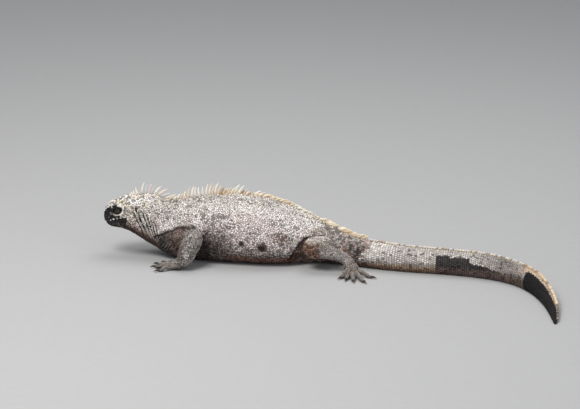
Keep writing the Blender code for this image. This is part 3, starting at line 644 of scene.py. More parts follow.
def extremity_tubes(plan, joint, heading, mirror):
    """The tubes of a palm and its five digits."""
    ahead, across = plan_axes(heading)
    length, width, height = plan["palm"]
    start = joint - ahead * 7
    end = np.array([joint[0], joint[1], height * 0.72]) + ahead * length
    sizes = ((width * 0.78, height * 1.15), (width, height), (width * 0.98, height * 0.74))
    tubes = {"palm": Tube([start, (start + end) / 2 + [0, 0, 0.5], end], sizes)}
    for number, (reach, angle) in enumerate(zip(plan["lengths"], plan["angles"]), 1):
        turn = heading + math.radians(angle) * mirror
        spread = math.sin(math.radians(angle)) * width * 1.12 * mirror
        root = end - ahead * 7 + across * spread
        root[2] = height * 0.72
        radius = plan["radius"] * (0.92 if number in (1, 5) else 1.0)
        out = plan_axes(turn)[0]
        low = radius * 0.62
        heights = (root[2], root[2] + 1.0, (root[2] + low) / 2 + 0.6, low, low)
        steps = (-6, 0.32 * reach, 0.62 * reach, reach - 4, reach)
        line = [root + out * s + [0, 0, z - root[2]] for s, z in zip(steps, heights)]
        sizes = ((1.1, 1), (1, 1), (0.9, 0.85), (0.78, 0.66))
        sizes = [(radius * a * 0.97, radius * b * 0.97) for a, b in sizes]
        knuckles = ((0.2, 4, -0.08), (0.42, 2.6, 0.1), (0.58, 2.6, -0.1), (0.74, 2.2, 0.09))
        digit = Tube(line, sizes, closed=False, knuckles=knuckles, step=0.9)
        digit.heading = turn
        tubes[f"digit_{number}"] = digit
    return tubes


TUBES = limb_tubes()


def trunk_block(sides=180):
    start = [0.02, 0.15, 0.5, 1.1, 2, 3]
    along = np.concatenate([start, np.arange(4.2, TRUNK_END, 1.6), [TRUNK_END]])
    angles = np.arange(sides) * 360 / sides
    points = trunk_surface(along[:, None], angles[None], -COAT).reshape(-1, 3)
    return points, tube_faces(len(along), sides)


def raw_skin():
    """Trunk and limbs fused into one surface of even small faces."""
    blocks = [trunk_block()]
    for tubes in TUBES.values():
        for name, tube in tubes.items():
            blocks.append(tube.block(20 if name.startswith("digit") else 44, -COAT * 0.8))
    points, faces, first = [], [], 0
    for block_points, block_faces in blocks:
        points.append(block_points)
        faces += [f + first for f in block_faces]
        first += len(block_points)
    skin = mesh_object("skin", np.concatenate(points), faces, None)
    fuse = skin.modifiers.new("Fuse", "REMESH")
    fuse.mode = "VOXEL"
    fuse.voxel_size = VOXEL
    fuse.adaptivity = 0
    graph = bpy.context.evaluated_depsgraph_get()
    mesh = bpy.data.meshes.new_from_object(skin.evaluated_get(graph))
    skin.modifiers.clear()
    old = skin.data
    skin.data = mesh
    bpy.data.meshes.remove(old)
    mesh.name = "skin"
    return skin


def refine(skin):
    """Quarters the faces of the head, where the finest forms are."""
    made = bmesh.new()
    made.from_mesh(skin.data)
    limit = (72 - BELLY_ALONG) * MM
    edges = [e for e in made.edges if e.verts[0].co.x < limit and e.verts[1].co.x < limit]
    edges = [e for e in edges if e.verts[0].co.z > 0.03]
    bmesh.ops.subdivide_edges(made, edges=edges, cuts=1, use_grid_fill=True)
    bmesh.ops.triangulate(made, faces=[f for f in made.faces if len(f.verts) > 4])
    made.to_mesh(skin.data)
    made.free()


def relax(points, edges, strength, rounds):
    """Moves each point towards the mean of its neighbours, by its own strength."""
    count = np.bincount(edges.ravel(), minlength=len(points))[:, None]
    ends = np.concatenate([edges[:, 0], edges[:, 1]])
    others = np.concatenate([edges[:, 1], edges[:, 0]])
    points = points.copy()
    for _ in range(rounds):
        total = np.stack(
            [np.bincount(ends, points[others, i], len(points)) for i in range(3)], -1
        )
        points += (total / np.maximum(count, 1) - points) * strength[:, None]
    return points


def tree_of(points):
    tree = KDTree(len(points))
    for i, p in enumerate(points.tolist()):
        tree.insert(p, i)
    tree.balance()
    return tree


def trunk_coords(points):
    """Distance from the snout and angle of the nearest place on the trunk, and how far outside
    the trunk's surface each point in metres lies."""
    step, turn = 2.0, 3.0
    along = np.arange(0, TRUNK_END + step, step)
    angles = np.arange(-180, 180, turn)
    tree = tree_of(trunk_surface(along[:, None], angles[None]).reshape(-1, 3))
    nearest = np.array([tree.find(p)[1] for p in points.tolist()])
    s = along[nearest // len(angles)]
    a = angles[nearest % len(angles)]
    for _ in range(3):
        here = trunk_surface(s, a)
        slope_s = trunk_surface(s + 0.5, a) - trunk_surface(s - 0.5, a)
        slope_a = trunk_surface(s, a + 0.5) - trunk_surface(s, a - 0.5)
        offset = points - here
        ss = (slope_s**2).sum(1) + 1e-14
        aa = (slope_a**2).sum(1) + 1e-14
        sa = (slope_s * slope_a).sum(1)
        os_, oa = (offset * slope_s).sum(1), (offset * slope_a).sum(1)
        det = np.maximum(ss * aa - sa**2, 1e-16 * (ss + aa))
        det = np.maximum(det, 1e-3 * ss * aa)
        s = np.clip(s + np.clip((os_ * aa - oa * sa) / det, -step, step), 0, TRUNK_END)
        a = a + np.clip((oa * ss - os_ * sa) / det, -turn, turn)
    here, out, _ = trunk_frames(s, a)
    apart = ((points - here) * out).sum(1) / MM
    return s, (a + 180) % 360 - 180, apart


class Places:
    """Where points lie on the animal: on the trunk by distance and angle, or on a limb."""

    def __init__(self, points):
        self.points = points
        self.s, self.a, self.outside = trunk_coords(points)
        self.side = np.abs(self.a)
        self.left = self.a > 0
        self.limb, self.part = np.full((2, len(points)), -1)
        self.reach, self.turn = np.zeros((2, len(points)))
        self.limb_gap = np.full(len(points), 1e3)
        self.second = np.abs(self.outside)
        for number, tubes in enumerate(TUBES.values()):
            for kind, tube in enumerate(tubes.values()):
                apart, along, turn = tube.fields(points)
                closer = apart < self.limb_gap
                second = np.minimum(self.second, np.abs(self.limb_gap))
                found = {
                    "second": second, "limb_gap": apart, "limb": number, "part": kind,
                    "reach": along, "turn": turn,
                }
                for key, value in found.items():
                    setattr(self, key, np.where(closer, value, getattr(self, key)))
        nearer = np.minimum(self.outside, 8) - np.maximum(self.limb_gap, -1) * 0.6
        self.on_limb = np.where(self.limb_gap < 6, ramp(nearer, 0.8, 3.5), 0)

    @classmethod
    def known(cls, points, s=0.0, a=0.0, limb=0, part=0, on_limb=0.0):
        """Places that are given by their numbers, without a search."""
        made = cls.__new__(cls)
        made.points = points
        given = {
            "s": s, "a": a, "side": np.abs(a), "left": a > 0, "limb": limb, "part": part,
            "on_limb": on_limb, "outside": 0.0, "limb_gap": 1e3, "reach": 0.0, "turn": 0.0,
        }
        for key, value in given.items():
            setattr(made, key, np.broadcast_to(value, len(points)))
        return made

    def take(self, index):
        """The same for some of the points."""
        other = Places.__new__(Places)
        for key, value in self.__dict__.items():
            setattr(other, key, value[index])
        return other


def trunk_places(s, a):
    return Places.known(trunk_surface(s, a), s, (a + 180) % 360 - 180)


def arc(places, angle, least=10):
    """How far below a side angle each place of the trunk lies, in mm round the body."""
    return np.radians(places.side - angle) * np.maximum(trunk_width(places.s), least)


def path_distance(places, knots):
    """Distance in mm on the trunk from a line through (distance, side angle) knots."""
    width = np.maximum(trunk_width(places.s), 10)
    best = np.full(len(places.s), 1e3)
    for (s0, a0), (s1, a1) in zip(knots, knots[1:]):
        along = np.array([s1 - s0, np.radians(a1 - a0) * 45])
        from_s = places.s - s0
        from_a = np.radians(places.side - a0) * width
        length = (along**2).sum()
        t = np.clip((from_s * along[0] + from_a * along[1]) / length, 0, 1)
        best = np.minimum(best, np.hypot(from_s - t * along[0], from_a - t * along[1]))
    return best


def within(places, knots):
    """How far inside a closed outline of (distance, side angle) knots each place lies, in mm as on
    a narrow body, and below 0 outside it."""
    shape = np.array(knots, float) * [1.0, FACE_TURN_MM]
    x, y = places.s, places.side * FACE_TURN_MM
    near = np.where((x < shape[:, 0].max() + 8))[0]
    px, py = x[near], y[near]
    inside = np.zeros(len(near), bool)
    best = np.full(len(near), 1e3)
    for (x0, y0), (x1, y1) in zip(shape, np.roll(shape, -1, axis=0)):
        dx, dy = x1 - x0, y1 - y0
        t = np.clip(((px - x0) * dx + (py - y0) * dy) / (dx * dx + dy * dy), 0, 1)
        best = np.minimum(best, np.hypot(px - x0 - t * dx, py - y0 - t * dy))
        crosses = (y0 > py) != (y1 > py)
        inside ^= crosses & (px < x0 + dx * (py - y0) / np.where(dy == 0, 1e-9, dy))
    field = np.full(len(x), -50.0)
    field[near] = np.where(inside, best, -best)
    return field


def neck_folds(places):
    """The height of the neck's folds in mm, and how deep in a groove each place lies, 0 to 1."""
    near = np.where((places.s > 46) & (places.s < 116) & (places.side > 50))[0]
    part = places.take(near)
    waver = 1.2 * (noise(part.points, 9, 22) - 0.5)
    height, groove = np.zeros((2, len(near)))
    for knots, depth in NECK_FOLDS:
        start, end = knots[0][1], knots[-1][1]
        ends = band(part.side, start - 3, start + 10, end - 8, end + 6)
        gap = path_distance(part, knots) + waver
        line = hill(np.maximum(gap, 0), 1.5) * ends
        height = np.minimum(height, -depth * line) + 0.3 * depth * hill(gap - 3.4, 1.6) * ends
        groove = np.maximum(groove, line * min(depth / 1.8, 1))
    lift, deep = np.zeros((2, len(places.s)))
    lift[near] = height
    deep[near] = groove
    return lift, deep


def pit_folds(places):
    """1 on the ridges of the small folds that fan out in the hollow in front of the arm."""
    fan = places.s + 0.3 * (places.side - 96) + 3 * (noise(places.points, 12, 24) - 0.5)
    return hill(fan % 5.2 - 2.6, 1.0) * ramp(fan, 100, 106) * fade(fan, 128, 134)


def below_arm_fold(places):
    """How far inside the dark hollow between neck, breast and arm each place lies, in mm."""
    field = arc(places, curve(ARM_FOLD, places.s))
    field = np.minimum(field, (places.s - 99 - 0.12 * (places.side - 100)) * 0.8)
    return np.minimum(field, (196 - places.s) * 0.8)


def behind_groin_fold(places):
    """How far each place lies behind the fold in front of the thigh, in mm, or below 0."""
    knots = sorted((side, s) for s, side in GROIN_FOLD[:-1])
    return np.minimum(places.s - curve(knots, places.side), (places.side - 68) * 0.8)


def joint_crease(places):
    """1 along the line where a limb leaves the trunk."""
    near = fade(np.maximum(np.abs(places.outside), np.abs(places.limb_gap)), 4, 8)
    return hill(places.outside - places.limb_gap, 1.5) * near * (places.part < 2)


def above_sleeve(places):
    """How far above the shoulder's fold each place of an arm lies, and 1 on the arms alone."""
    x, z = places.points[:, 0] / MM, places.points[:, 2] / MM
    arm = (places.limb >= 0) & (places.limb < 2) & (places.part < 2)
    return z - curve(SLEEVE_LINE, x), arm


def along_and_aside(points, s, a):
    """Offsets in mm from a place on the head, how far each goes tailward, and how far aside."""
    place, _, back = frame_at(s, a)
    offset = (points - place) / MM
    along = offset @ back
    return offset, along, np.linalg.norm(offset - along[:, None] * back, axis=1)


def eye_distance(points, sign):
    """Distance in mm from the eye's middle, where 1 along the head counts as 0.74."""
    _, along, aside = along_and_aside(points, EYE_ALONG, sign * EYE_ANGLE)
    return np.hypot(along * 0.74, aside)


def ear_distance(points, sign):
    """Distance in mm from the ear's opening, which is taller than it is long and leans forwards."""
    offset, along, aside = along_and_aside(points, EAR_ALONG, sign * EAR_ANGLE)
    return np.hypot((along + 0.3 * offset[:, 2]) * 1.5, aside * 0.72)


def nostril_distance(points, sign, tall=1.0):
    nostril = trunk_surface(NOSTRIL_ALONG, sign * NOSTRIL_ANGLE)
    return np.linalg.norm((points - nostril) * [1.0, 1.0, tall], axis=1) / MM


def skin_detail(places):
    """Height in mm of the folds, lips, pits and wrinkles at points on the trunk."""
    s, side, points = places.s, places.side, places.points
    ends = np.clip((MOUTH_CORNER - s) / 3 + 0.5, 0, 1)
    across = arc(places, mouth_angle(s), 3)
    groove = hill(across, 0.75) * ramp(s, 2, 4)
    groove = np.maximum(groove, hill(s - MOUTH_FRONT, 0.7) * ramp(side, 128, 138))
    total = -1.9 * groove * ends
    total = total + 0.35 * (hill(across - 2, 1.1) + hill(across + 2, 1.1)) * ends
    corner = np.hypot(s - MOUTH_CORNER - 1.5, across - 1)
    total = total + 0.6 * hill(corner - 3.2, 1.4)
    total = total + neck_folds(places)[0]
    arm = path_distance(places, ARM_FOLD)
    total = total - 2.2 * hill(arm, 1.5) + 0.8 * hill(arm - 4.5, 2.4)
    total = total + 1.3 * (pit_folds(places) - 0.4) * ramp(below_arm_fold(places), 2, 5)
    groin = path_distance(places, GROIN_FOLD)
    total = total - 1.8 * hill(groin, 1.4) + 0.6 * hill(groin - 4, 2.2)
    flank = band(s, 168, 186, 232, 262) * ramp(side, 62, 84) * fade(side, 130, 150)
    waver = noise(points, 22, 5) - 0.5
    total = total - 0.7 * flank * hill((s + 0.12 * side + 16 * waver) % 9.5 - 4.7, 1.3)
    sag = band(s, 318, 340, 372, 390) * ramp(side, 60, 80)
    total = total - 0.7 * sag * hill((s - 0.45 * side + 12 * waver) % 10.5 - 5, 1.4)
    body = ramp(s, 50, 120) * (1 - 0.6 * ramp(s, 430, 520))
    total = total + body * (1.0 * (noise(points, 15, 1) - 0.5) + 0.5 * (noise(points, 6, 2) - 0.5))
    total = total + fade(s, 50, 75) * 0.35 * (noise(points, 5, 3) - 0.5)
    total = total + 1.1 * hill(arc(places, 0, 3), 2.2) * ramp(s, 46, 60)
    rings = hill((s - TAIL_SCALES_START) % WHORL - WHORL / 2, 0.8) * ramp(s, 450, 462)
    total = total - 0.25 * rings
    for sign in (1, -1):
        eye = eye_distance(points, sign)
        total = total - 3.0 * hill(np.maximum(eye - 4.3, 0), 1.8)
        total = total + 0.3 * hill(eye - 8.6, 0.8)
        nostril = nostril_distance(points, sign, 1.15)
        total = total - 2.8 * fade(nostril, 0.8, 1.9) + 0.75 * hill(nostril - 2.8, 0.8)
        ear = ear_distance(points, sign)
        total = total - 2.2 * fade(ear, 2.2, EAR_RADIUS) + 0.6 * hill(ear - 5.6, 1.1)
    return total


def mixed(base, name, share):
    """`base` moved towards a named colour by `share`, an array from 0 to 1."""
    colour = COLOURS[name] if isinstance(name, str) else name
    return base + (colour - base) * np.asarray(share)[:, None]


class Paint:
    """Colours at some points, under layers that are laid on one after another."""

    def __init__(self, count, name):
        self.colours = np.tile(COLOURS[name], (count, 1))

    def __call__(self, name, share):
        self.colours = mixed(self.colours, name, share)

    def darken(self, share):
        self.colours = self.colours * (1 - share)[:, None]


def ragged(field, points, rough=2.2, soft=0.7):
    """1 where the field in mm is above 0, with a broken edge."""
    broken = field + rough * 2 * (noise(points, 4.5, 31) - 0.5)
    return ramp(broken + rough * (noise(points, 2, 32) - 0.5), -soft, soft)


def spot(places, s, side, reach_s, reach_a, left):
    """A rounded mark on one side; positive inside, in mm."""
    share = np.hypot((places.s - s) / reach_s, arc(places, side) / reach_a)
    return np.where(places.left == left, (1 - share) * min(reach_s, reach_a), -50.0)


def trunk_tint(places):
    """The trunk's colours at its points."""
    s, side, points = places.s, places.side, places.points
    big, middle, fine = noise(points, 26, 41), noise(points, 9, 42), noise(points, 3.6, 43)
    paint = Paint(len(s), "light")
    paint("chalk", 0.6 * ramp(big + 0.4 * middle, 0.5, 1.0) * (1 - 0.8 * ramp(side, 60, 110)))
    paint("grey", 0.5 * ramp(middle + 0.5 * fine, 0.75, 1.2))
    paint("pinkish", 0.3 * ramp(noise(points, 13, 44), 0.5, 0.8) * ramp(side, 30, 70))
    loin = hill(s - 345, 24)
    rosy = band(s, 170, 230, 380, 420) * (1 - 0.7 * loin)
    paint("rose", 0.55 * ramp(side + 14 * (middle - 0.5), 34, 66) * rosy)
    paint("chalk", 0.3 * loin * fade(side, 66, 84))
    paint("grey", 0.45 * fade(side, 14, 42) * band(s, 74, 110, 330, 380))
    paint("slate", 0.78 * ramp(side + 10 * (middle - 0.5), 80, 118) * ramp(s, 120, 150))
    paint("russet", 0.75 * ramp(side + 8 * (fine - 0.5), 112, 124) * ramp(s, 200, 235))
    # painted shade on the underside
    paint("dark", 0.6 * ramp(side, 124, 140))
    # behind the elbow: darker speckled skin of its own, deepened as painted shadow of the arm
    elbow = ramp(s + 14 * (big - 0.5), 176, 188) * fade(s + 10 * (middle - 0.5), 206, 246)
    elbow = elbow * ramp(side + 12 * (middle - 0.5), 62, 96)
    paint("slate", 0.75 * elbow)
    paint("dark", 0.4 * elbow)
    paint("plum", 0.6 * elbow * ramp(fine, 0.4, 0.7))
    for name, strength, *outline, rough, soft, left in MARKS:
        paint(name, strength * ragged(spot(places, *outline, left), points, rough, soft))
    head_tint(paint, places, middle, fine)
    # the hollow in front of the arm: its skin's own dark colour deepened by painted shade, greyer
    # on the ridges of its folds, with a pinkish-brown streak of its own colour
    pit = ragged(below_arm_fold(places), points, 1.2, 1.0)
    paint("black", 0.6 * pit)
    paint("dark", 0.6 * pit)
    paint("grey", 0.6 * pit * pit_folds(places))
    paint("black", 0.5 * pit * fade(s, 110, 126))
    streak = hill(s - 132 - 0.2 * (side - 100), 11) * ramp(middle + 0.5 * fine, 0.2, 0.6)
    paint("pinkish", 0.45 * pit * streak)
    paint("brown", 0.35 * pit * streak)
    # painted shade: a black line in the fold over the arm
    paint("black", 0.9 * hill(path_distance(places, ARM_FOLD), 1.9))
    behind = ramp(behind_groin_fold(places), 0, 2) * fade(s, 398, 410)
    paint("russet", 0.8 * behind)
    paint("dark", 0.6 * behind * ramp(middle + 0.4 * fine, 0.4, 0.8))
    # painted shade: a black line in the fold in front of the thigh
    paint("black", 0.92 * hill(path_distance(places, GROIN_FOLD) - 0.6, 2.2))
    shift = np.where(places.left, 0, 34)  # the right side's tail markings begin nearer the body
    hip_tint(paint, places, shift)
    tail_tint(paint, places, middle, fine, shift)
    return paint.colours


def head_tint(paint, places, middle, fine):
    """The pale crown and cheeks, the black face, and painted shade in the folds of the neck and
    under the jaw.
    """
    s, side, points = places.s, places.side, places.points
    crown = fade(side, 46, 60) * fade(s, 66, 92)
    paint("chalk", 0.2 * crown)
    paint("grey", 0.3 * hill(s - 108, 34) * fade(side, 58, 76))
    paint("ochre", 0.4 * crown * ramp(middle, 0.45, 0.8))
    paint("ochre", 0.3 * hill(s - 45, 14) * hill(side - 82, 28))
    paint("pinkish", 0.6 * hill(s - 50, 6) * hill(side - 100, 10))
    jaw = ramp(side, 98, 116) * band(s, 30, 40, 112, 128)
    paint("pinkish", 0.6 * jaw)
    paint("brown", 0.8 * jaw * ramp(side + 16 * (fine - 0.5), 110, 126))
    paint("plum", 0.7 * jaw * fade(s + 8 * (middle - 0.5), 42, 58))
    # painted shade under the jaw
    paint("dark", 0.75 * jaw * ramp(side, 122, 138))
    softer = 2.2 * ramp(side, 104, 114)
    face = within(places, FACE_EDGE) + 2.2 * (fine - 0.5) - softer * 0.3
    mask = ramp(face, -0.7 - softer, 0.7 + softer)
    paint("black", 0.97 * mask * (1 - 0.35 * ramp(side, 106, 118)))
    paint("plum", 0.85 * mask * ramp(side, 104, 112) * ramp(middle + fine, 0.5, 1.1))
    flecks = ramp(noise(points, 2.6, 48), 0.62, 0.72) * fade(side, 84, 98) * ramp(s, 2, 6)
    paint("grey", 0.55 * mask * flecks)
    paint.darken(0.35 * mask * (1 - flecks))
    bright = ramp(s, 12, 30)[:, None]
    under_lid = COLOURS["grey"] * (1 - bright) + COLOURS["chalk"] * bright
    paint(under_lid, hill(path_distance(places, LID_LINE), 1.0) * ramp(s, 10, 15))
    above = -arc(places, mouth_angle(s), 8)
    lip = band(s, 4, 9, 28, 31) * hill(above - 2.2, 1.2)
    paint("chalk", 0.85 * lip * ramp(noise(points, 3.2, 49), 0.36, 0.56))
    paint("slate", 0.32 * band(s, 58, 66, 96, 106) * band(side, 70, 84, 112, 122))
    # painted shade: black in the grooves of the neck's folds
    paint("black", 0.92 * neck_folds(places)[1])
    ear, nose = (
        np.minimum(distance(points, 1), distance(points, -1))
        for distance in (ear_distance, nostril_distance)
    )
    paint("dark", 0.9 * fade(ear, 2.6, 4.2))
    paint("black", 0.95 * fade(nose, 1.2, 2.2))


def hip_tint(paint, places, shift):
    """The hips: a darker, pinkish field that ends at a bright edge on the tail's root."""
    s, side, points = places.s, places.side, places.points
    edge = curve(HIP_EDGE, side) + shift * 0.6
    field = np.minimum(edge - s, (s - 392 - 0.45 * (60 - side)) * 0.3)
    hip = ragged(field, points, 1.8, 1.0)
    back = ramp(s - 0.35 * side, 420, 452)
    paint("grey", (0.4 + 0.4 * back) * hip)
    paint("slate", (0.25 + 0.55 * back) * hip * ramp(side, 10, 60))
    paint("pinkish", 0.5 * hip * ramp(noise(points, 8, 45), 0.35, 0.7))
    paint("russet", 0.6 * hip * ramp(noise(points, 6, 46), 0.5, 0.75) * ramp(side, 36, 66))
    patches = ramp(noise(points, 5, 50), 0.45, 0.65)
    paint("dark", 0.45 * hip * back * patches * ramp(side, 30, 60))
    paint("light", 0.4 * hip * ramp(noise(points, 4, 47), 0.6, 0.8) * fade(side, 60, 90))
    paint("chalk", 0.85 * hill(s - edge - 2.4, 1.8) * ramp(side, 20, 40))


def tail_tint(paint, places, middle, fine, shift):
    """The tail: a dark patch on its side, a tan underside that darkens to brown lower down as
    painted shade, and a dark end under a pale comb.
    """
    s, side, points = places.s, places.side, places.points
    t = s + shift
    field = np.minimum(arc(places, curve(PATCH_EDGE, t), 8), (t - 619) * 0.8)
    patch = ragged(np.minimum(field, (758 - t) * 0.8), points, 1.0, 0.5)
    rings = 0.5 + 0.5 * np.cos(2 * np.pi * (s - TAIL_SCALES_START) / WHORL)
    paint("slate", 0.3 * rings * ramp(s, 500, 560))
    paint("slate", 0.4 * ramp(s, 650, 740) * ramp(middle + 0.4 * fine, 0.4, 0.9))
    paint("slate", 0.6 * ramp(s, 690, 750))
    paint("slate", 0.35 * fade(side, 20, 48) * ramp(s, 540, 600))
    # the underside: tan of its own, and brown lower down as painted shade
    under = ramp(side + 10 * (fine - 0.5), 96, 116) * ramp(s, 496, 520)
    paint("tan", 0.5 * under)
    paint("brown", 0.5 * under * ramp(side, 116, 140))
    paint("black", 0.93 * patch)
    paint("pinkish", 0.2 * patch * ramp(side, 96, 115))
    paint("dark", 0.7 * ramp(s, 735, 775) * ramp(side, 92, 112))
    from_top = arc(places, 0, 8)
    past_comb = from_top - curve(COMB_EDGE, s)
    field = np.minimum(past_comb, (s - 800 - 0.06 * (side - 60)) * 0.7)
    end = ragged(field, points, 0.8, 0.5)
    paint("black", 0.97 * end)
    paint.darken(0.45 * end)
    comb = band(s, 775, 806, 935, 955) * fade(past_comb, -0.6, 0.6)
    paint("orange", 0.8 * comb)
    paint("pinkish", 0.5 * comb * ramp(fine, 0.45, 0.65))
    paint("cream", 0.4 * hill(from_top, 3.2) * band(s, 50, 60, 760, 800))


def limb_tint(places):
    """The limbs' colours at their points."""
    points, part = places.points, places.part
    x, z = points[:, 0] / MM, points[:, 2] / MM
    middle, fine = noise(points, 8, 61), noise(points, 3, 62)
    fore = places.limb < 2
    shank = ~fore & (part == 1)
    paint = Paint(len(places.s), "grey")
    paint("slate", np.where(fore, 0.5, 0.45) * ramp(middle + 0.3 * fine, 0.3, 0.8))
    paint("light", np.where(shank, 0.15, 0.4) * ramp(fine, 0.5, 0.8))
    front = (fore & (part == 0)) * ramp(-x, 96, 106)
    paint("brown", 0.7 * front * ramp(middle + 0.4 * fine, 0.1, 0.5))
    paint("pinkish", 0.3 * front * ramp(fine, 0.4, 0.7))
    inner = ramp(-x - smooth(z, (10, 60), (112, 104)), 0, 8)
    paint("brown", 0.6 * (fore & (part == 1)) * inner)
    above, sleeve = above_sleeve(places)
    paint("light", 0.85 * ramp(above, 0.5, 2.5) * sleeve)
    # painted shade: a black line in the fold where the shoulder's skin covers the upper arm
    paint("black", 0.85 * hill(above + 0.6, 1.5) * ramp(-x, 84, 94) * sleeve)
    knee = fade(places.reach + 16 * (middle - 0.5), 22, 46) * (part == 1)
    thigh = ~fore * np.clip((part == 0) + knee, 0, 1) * (1 - 0.8 * ramp(x, 136, 146))
    thigh = thigh * (1 - 0.8 * ramp(z + 5 * (middle - 0.5), 50, 57))
    paint("light", 0.6 * ~fore * (part < 2) * ramp(z, 50, 57))
    paint("russet", 0.8 * thigh * ramp(middle + 0.4 * fine, 0.2, 0.6))
    paint("tan", 0.55 * thigh * ramp(noise(points, 3.4, 64), 0.58, 0.72))
    paint("dark", 0.75 * thigh * ramp(noise(points, 4, 63), 0.5, 0.64))
    paint("tan", 0.4 * (part >= 2) * ramp(middle, 0.25, 0.7))
    paint("slate", 0.4 * (part >= 2))
    paint("dark", 0.4 * (part >= 3) * ramp(fine, 0.3, 0.7))
    # painted shade near the floor
    paint("dark", 0.7 * fade(z, 1, 6))
    return paint.colours


def tint(places):
    """The animal's colours: the trunk's and the limbs' as each place lies, and painted shade in the
    creases.
    """
    base = trunk_tint(places)
    base = base + (limb_tint(places) - base) * places.on_limb[:, None]
    above, arm = above_sleeve(places)
    covered = arm * ramp(above, -0.5, 1.5)
    # painted shade: black along the crease where a limb leaves the trunk, less where the shoulder's
    # fold covers it
    return mixed(base, "black", 0.75 * joint_crease(places) * (1 - 0.85 * covered))


def speckle(places, draw):
    """One brightness for each scale: clusters of dark scales among light ones, more of them low on
    the flank and behind the elbow."""
    s, side, points = places.s, places.side, places.points
    dark = 0.2 + 0.26 * ramp(side, 70, 118) * band(s, 120, 160, 470, 500)
    for centre, angle, reach, strength in CLUSTERS:
        dark = dark + strength * hill(np.hypot(s - centre, arc(places, angle)), reach)
    dark = dark + 0.2 * band(s, 396, 410, 480, 500)
    shank = (places.limb >= 2) & (places.part == 1)
    dark = np.where(places.on_limb > 0.5, np.where(shank, 0.12, 0.3), dark)
    dark = dark + 0.2 * fade(s, 60, 80) + 0.07 * hill(s - 108, 34)
    folds = band(s, 54, 64, 100, 112) * ramp(side, 66, 80)
    dark = dark * (1 - 0.85 * folds)
    chance = 0.66 * draw.uniform(0, 1, len(s)) + 0.34 * ramp(noise(points, 5, 71), 0.25, 0.75)
    low = ramp(dark - chance, -0.06, 0.06)
    shade = draw.uniform(0.74, 1.2, len(s)) * (1 - 0.7 * low)
    flash = (draw.uniform(0, 1, len(s)) < 0.2) * (1 - low)
    return shade * (1 + 0.32 * flash)


def unwrap(places):
    """Each point's place on an unwrap of the skin: the trunk by distance and angle, and a strip for
    each limb."""
    trunk = (
        np.interp(places.s, [0, 70, 470, TRUNK_END], [0.01, 0.16, 0.60, 0.99]),
        0.02 + 0.6 * (places.a + 180) / 360,
    )
    limb = np.clip(places.limb, 0, 3)
    part = np.clip(places.part, 0, 2)
    cell = 0.01 + 0.245 * limb
    heading = np.radians(column(LIMBS.values(), 1))[limb]
    joint = np.array([joints[2] for joints, _, _ in LIMBS.values()])[limb]
    flat = places.points / MM - joint
    ahead = flat[:, 0] * np.cos(heading) + flat[:, 1] * np.sin(heading)
    aside = -flat[:, 0] * np.sin(heading) + flat[:, 1] * np.cos(heading)
    below = places.points[:, 2] < 3.5 * MM
    tube = (
        cell + 0.115 * part + 0.11 * np.clip(places.reach / 120, 0, 1),
        0.65 + 0.16 * (places.turn + np.pi) / (2 * np.pi),
    )
    palm = (
        cell + 0.115 * below + 0.11 * np.clip((ahead + 12) / 100, 0, 1),
        0.83 + 0.15 * np.clip((aside + 50) / 100, 0, 1),
    )
    kinds = [places.on_limb <= 0.5, part < 2]
    return np.stack([np.select(kinds, [a, b], c) for a, b, c in zip(trunk, tube, palm)], -1)


def uv_at(s, a):
    return unwrap(trunk_places(np.array([s]), np.array([a])))[0]


def patch_uvs(roots, local):
    """A small patch at each root for a template whose own plan runs from -1 to 1."""
    return (roots[:, None] + np.clip(local, -1, 1)[None] * PATCH / 2).reshape(-1, 2)


def shaded(colours, shade):
    """Each scale's colour at all its points, times each point's painted light and shade."""
    return np.clip(colours[:, None] * shade[None, :, None], 0, 1).reshape(-1, 3)


def build_skin(material):
    """The whole skin, with its places, normals and colours."""
    skin = raw_skin()
    mesh = skin.data
    points = read(mesh.vertices, "co", 3)
    places = Places(points)
    strength = 0.25 + 0.5 * ((places.second < 9) & (np.abs(places.limb_gap) < 9))
    strength = np.where((points[:, 2] < 1.5 * MM) | (places.part >= 3), 0.2, strength)
    edges = read(mesh.edges, "vertices", 2, np.int32)
    smoothed = relax(points, edges, np.clip(strength, 0, 0.6), 3)
    hard = (strength > 0.6).astype(float) * 0.55
    smoothed = relax(smoothed, edges, hard, 9)
    smoothed[:, 2] = np.maximum(smoothed[:, 2], 0.0)
    mesh.vertices.foreach_set("co", smoothed.astype(np.float32).ravel())
    refine(skin)
    mesh = skin.data
    points = read(mesh.vertices, "co", 3)
    places = Places(points)
    wrinkle = 0.7 * (noise(points, 7, 7) - 0.5) + 0.35 * (noise(points, 3.2, 8) - 0.5)
    wrinkle = wrinkle * np.where(places.part >= 2, 0.35, 1)
    above, arm = above_sleeve(places)
    crease = 1.3 * joint_crease(places) * (1 - 0.7 * (arm & (above > 0)))
    lift = skin_detail(places) * (1 - places.on_limb) + places.on_limb * wrinkle - crease
    lift = lift * ramp(points[:, 2] / MM, 0.2, 3)
    points = points + read(mesh.vertex_normals, "vector", 3) * (lift * MM)[:, None]
    points[:, 2] = np.maximum(points[:, 2], 0.0)
    mesh.vertices.foreach_set("co", points.astype(np.float32).ravel())
    mesh.update()
    mesh.shade_smooth()
    colours = tint(places)
    between = 0.3 + 0.14 * noise(points, 2.2, 9)  # the skin between the scales: darker in its own colour, and darker still as painted shade in the gaps
    set_tint(mesh, colours * between[:, None])
    mesh.materials.append(material)
    places.points = points
    return skin, places, read(mesh.vertex_normals, "vector", 3), colours


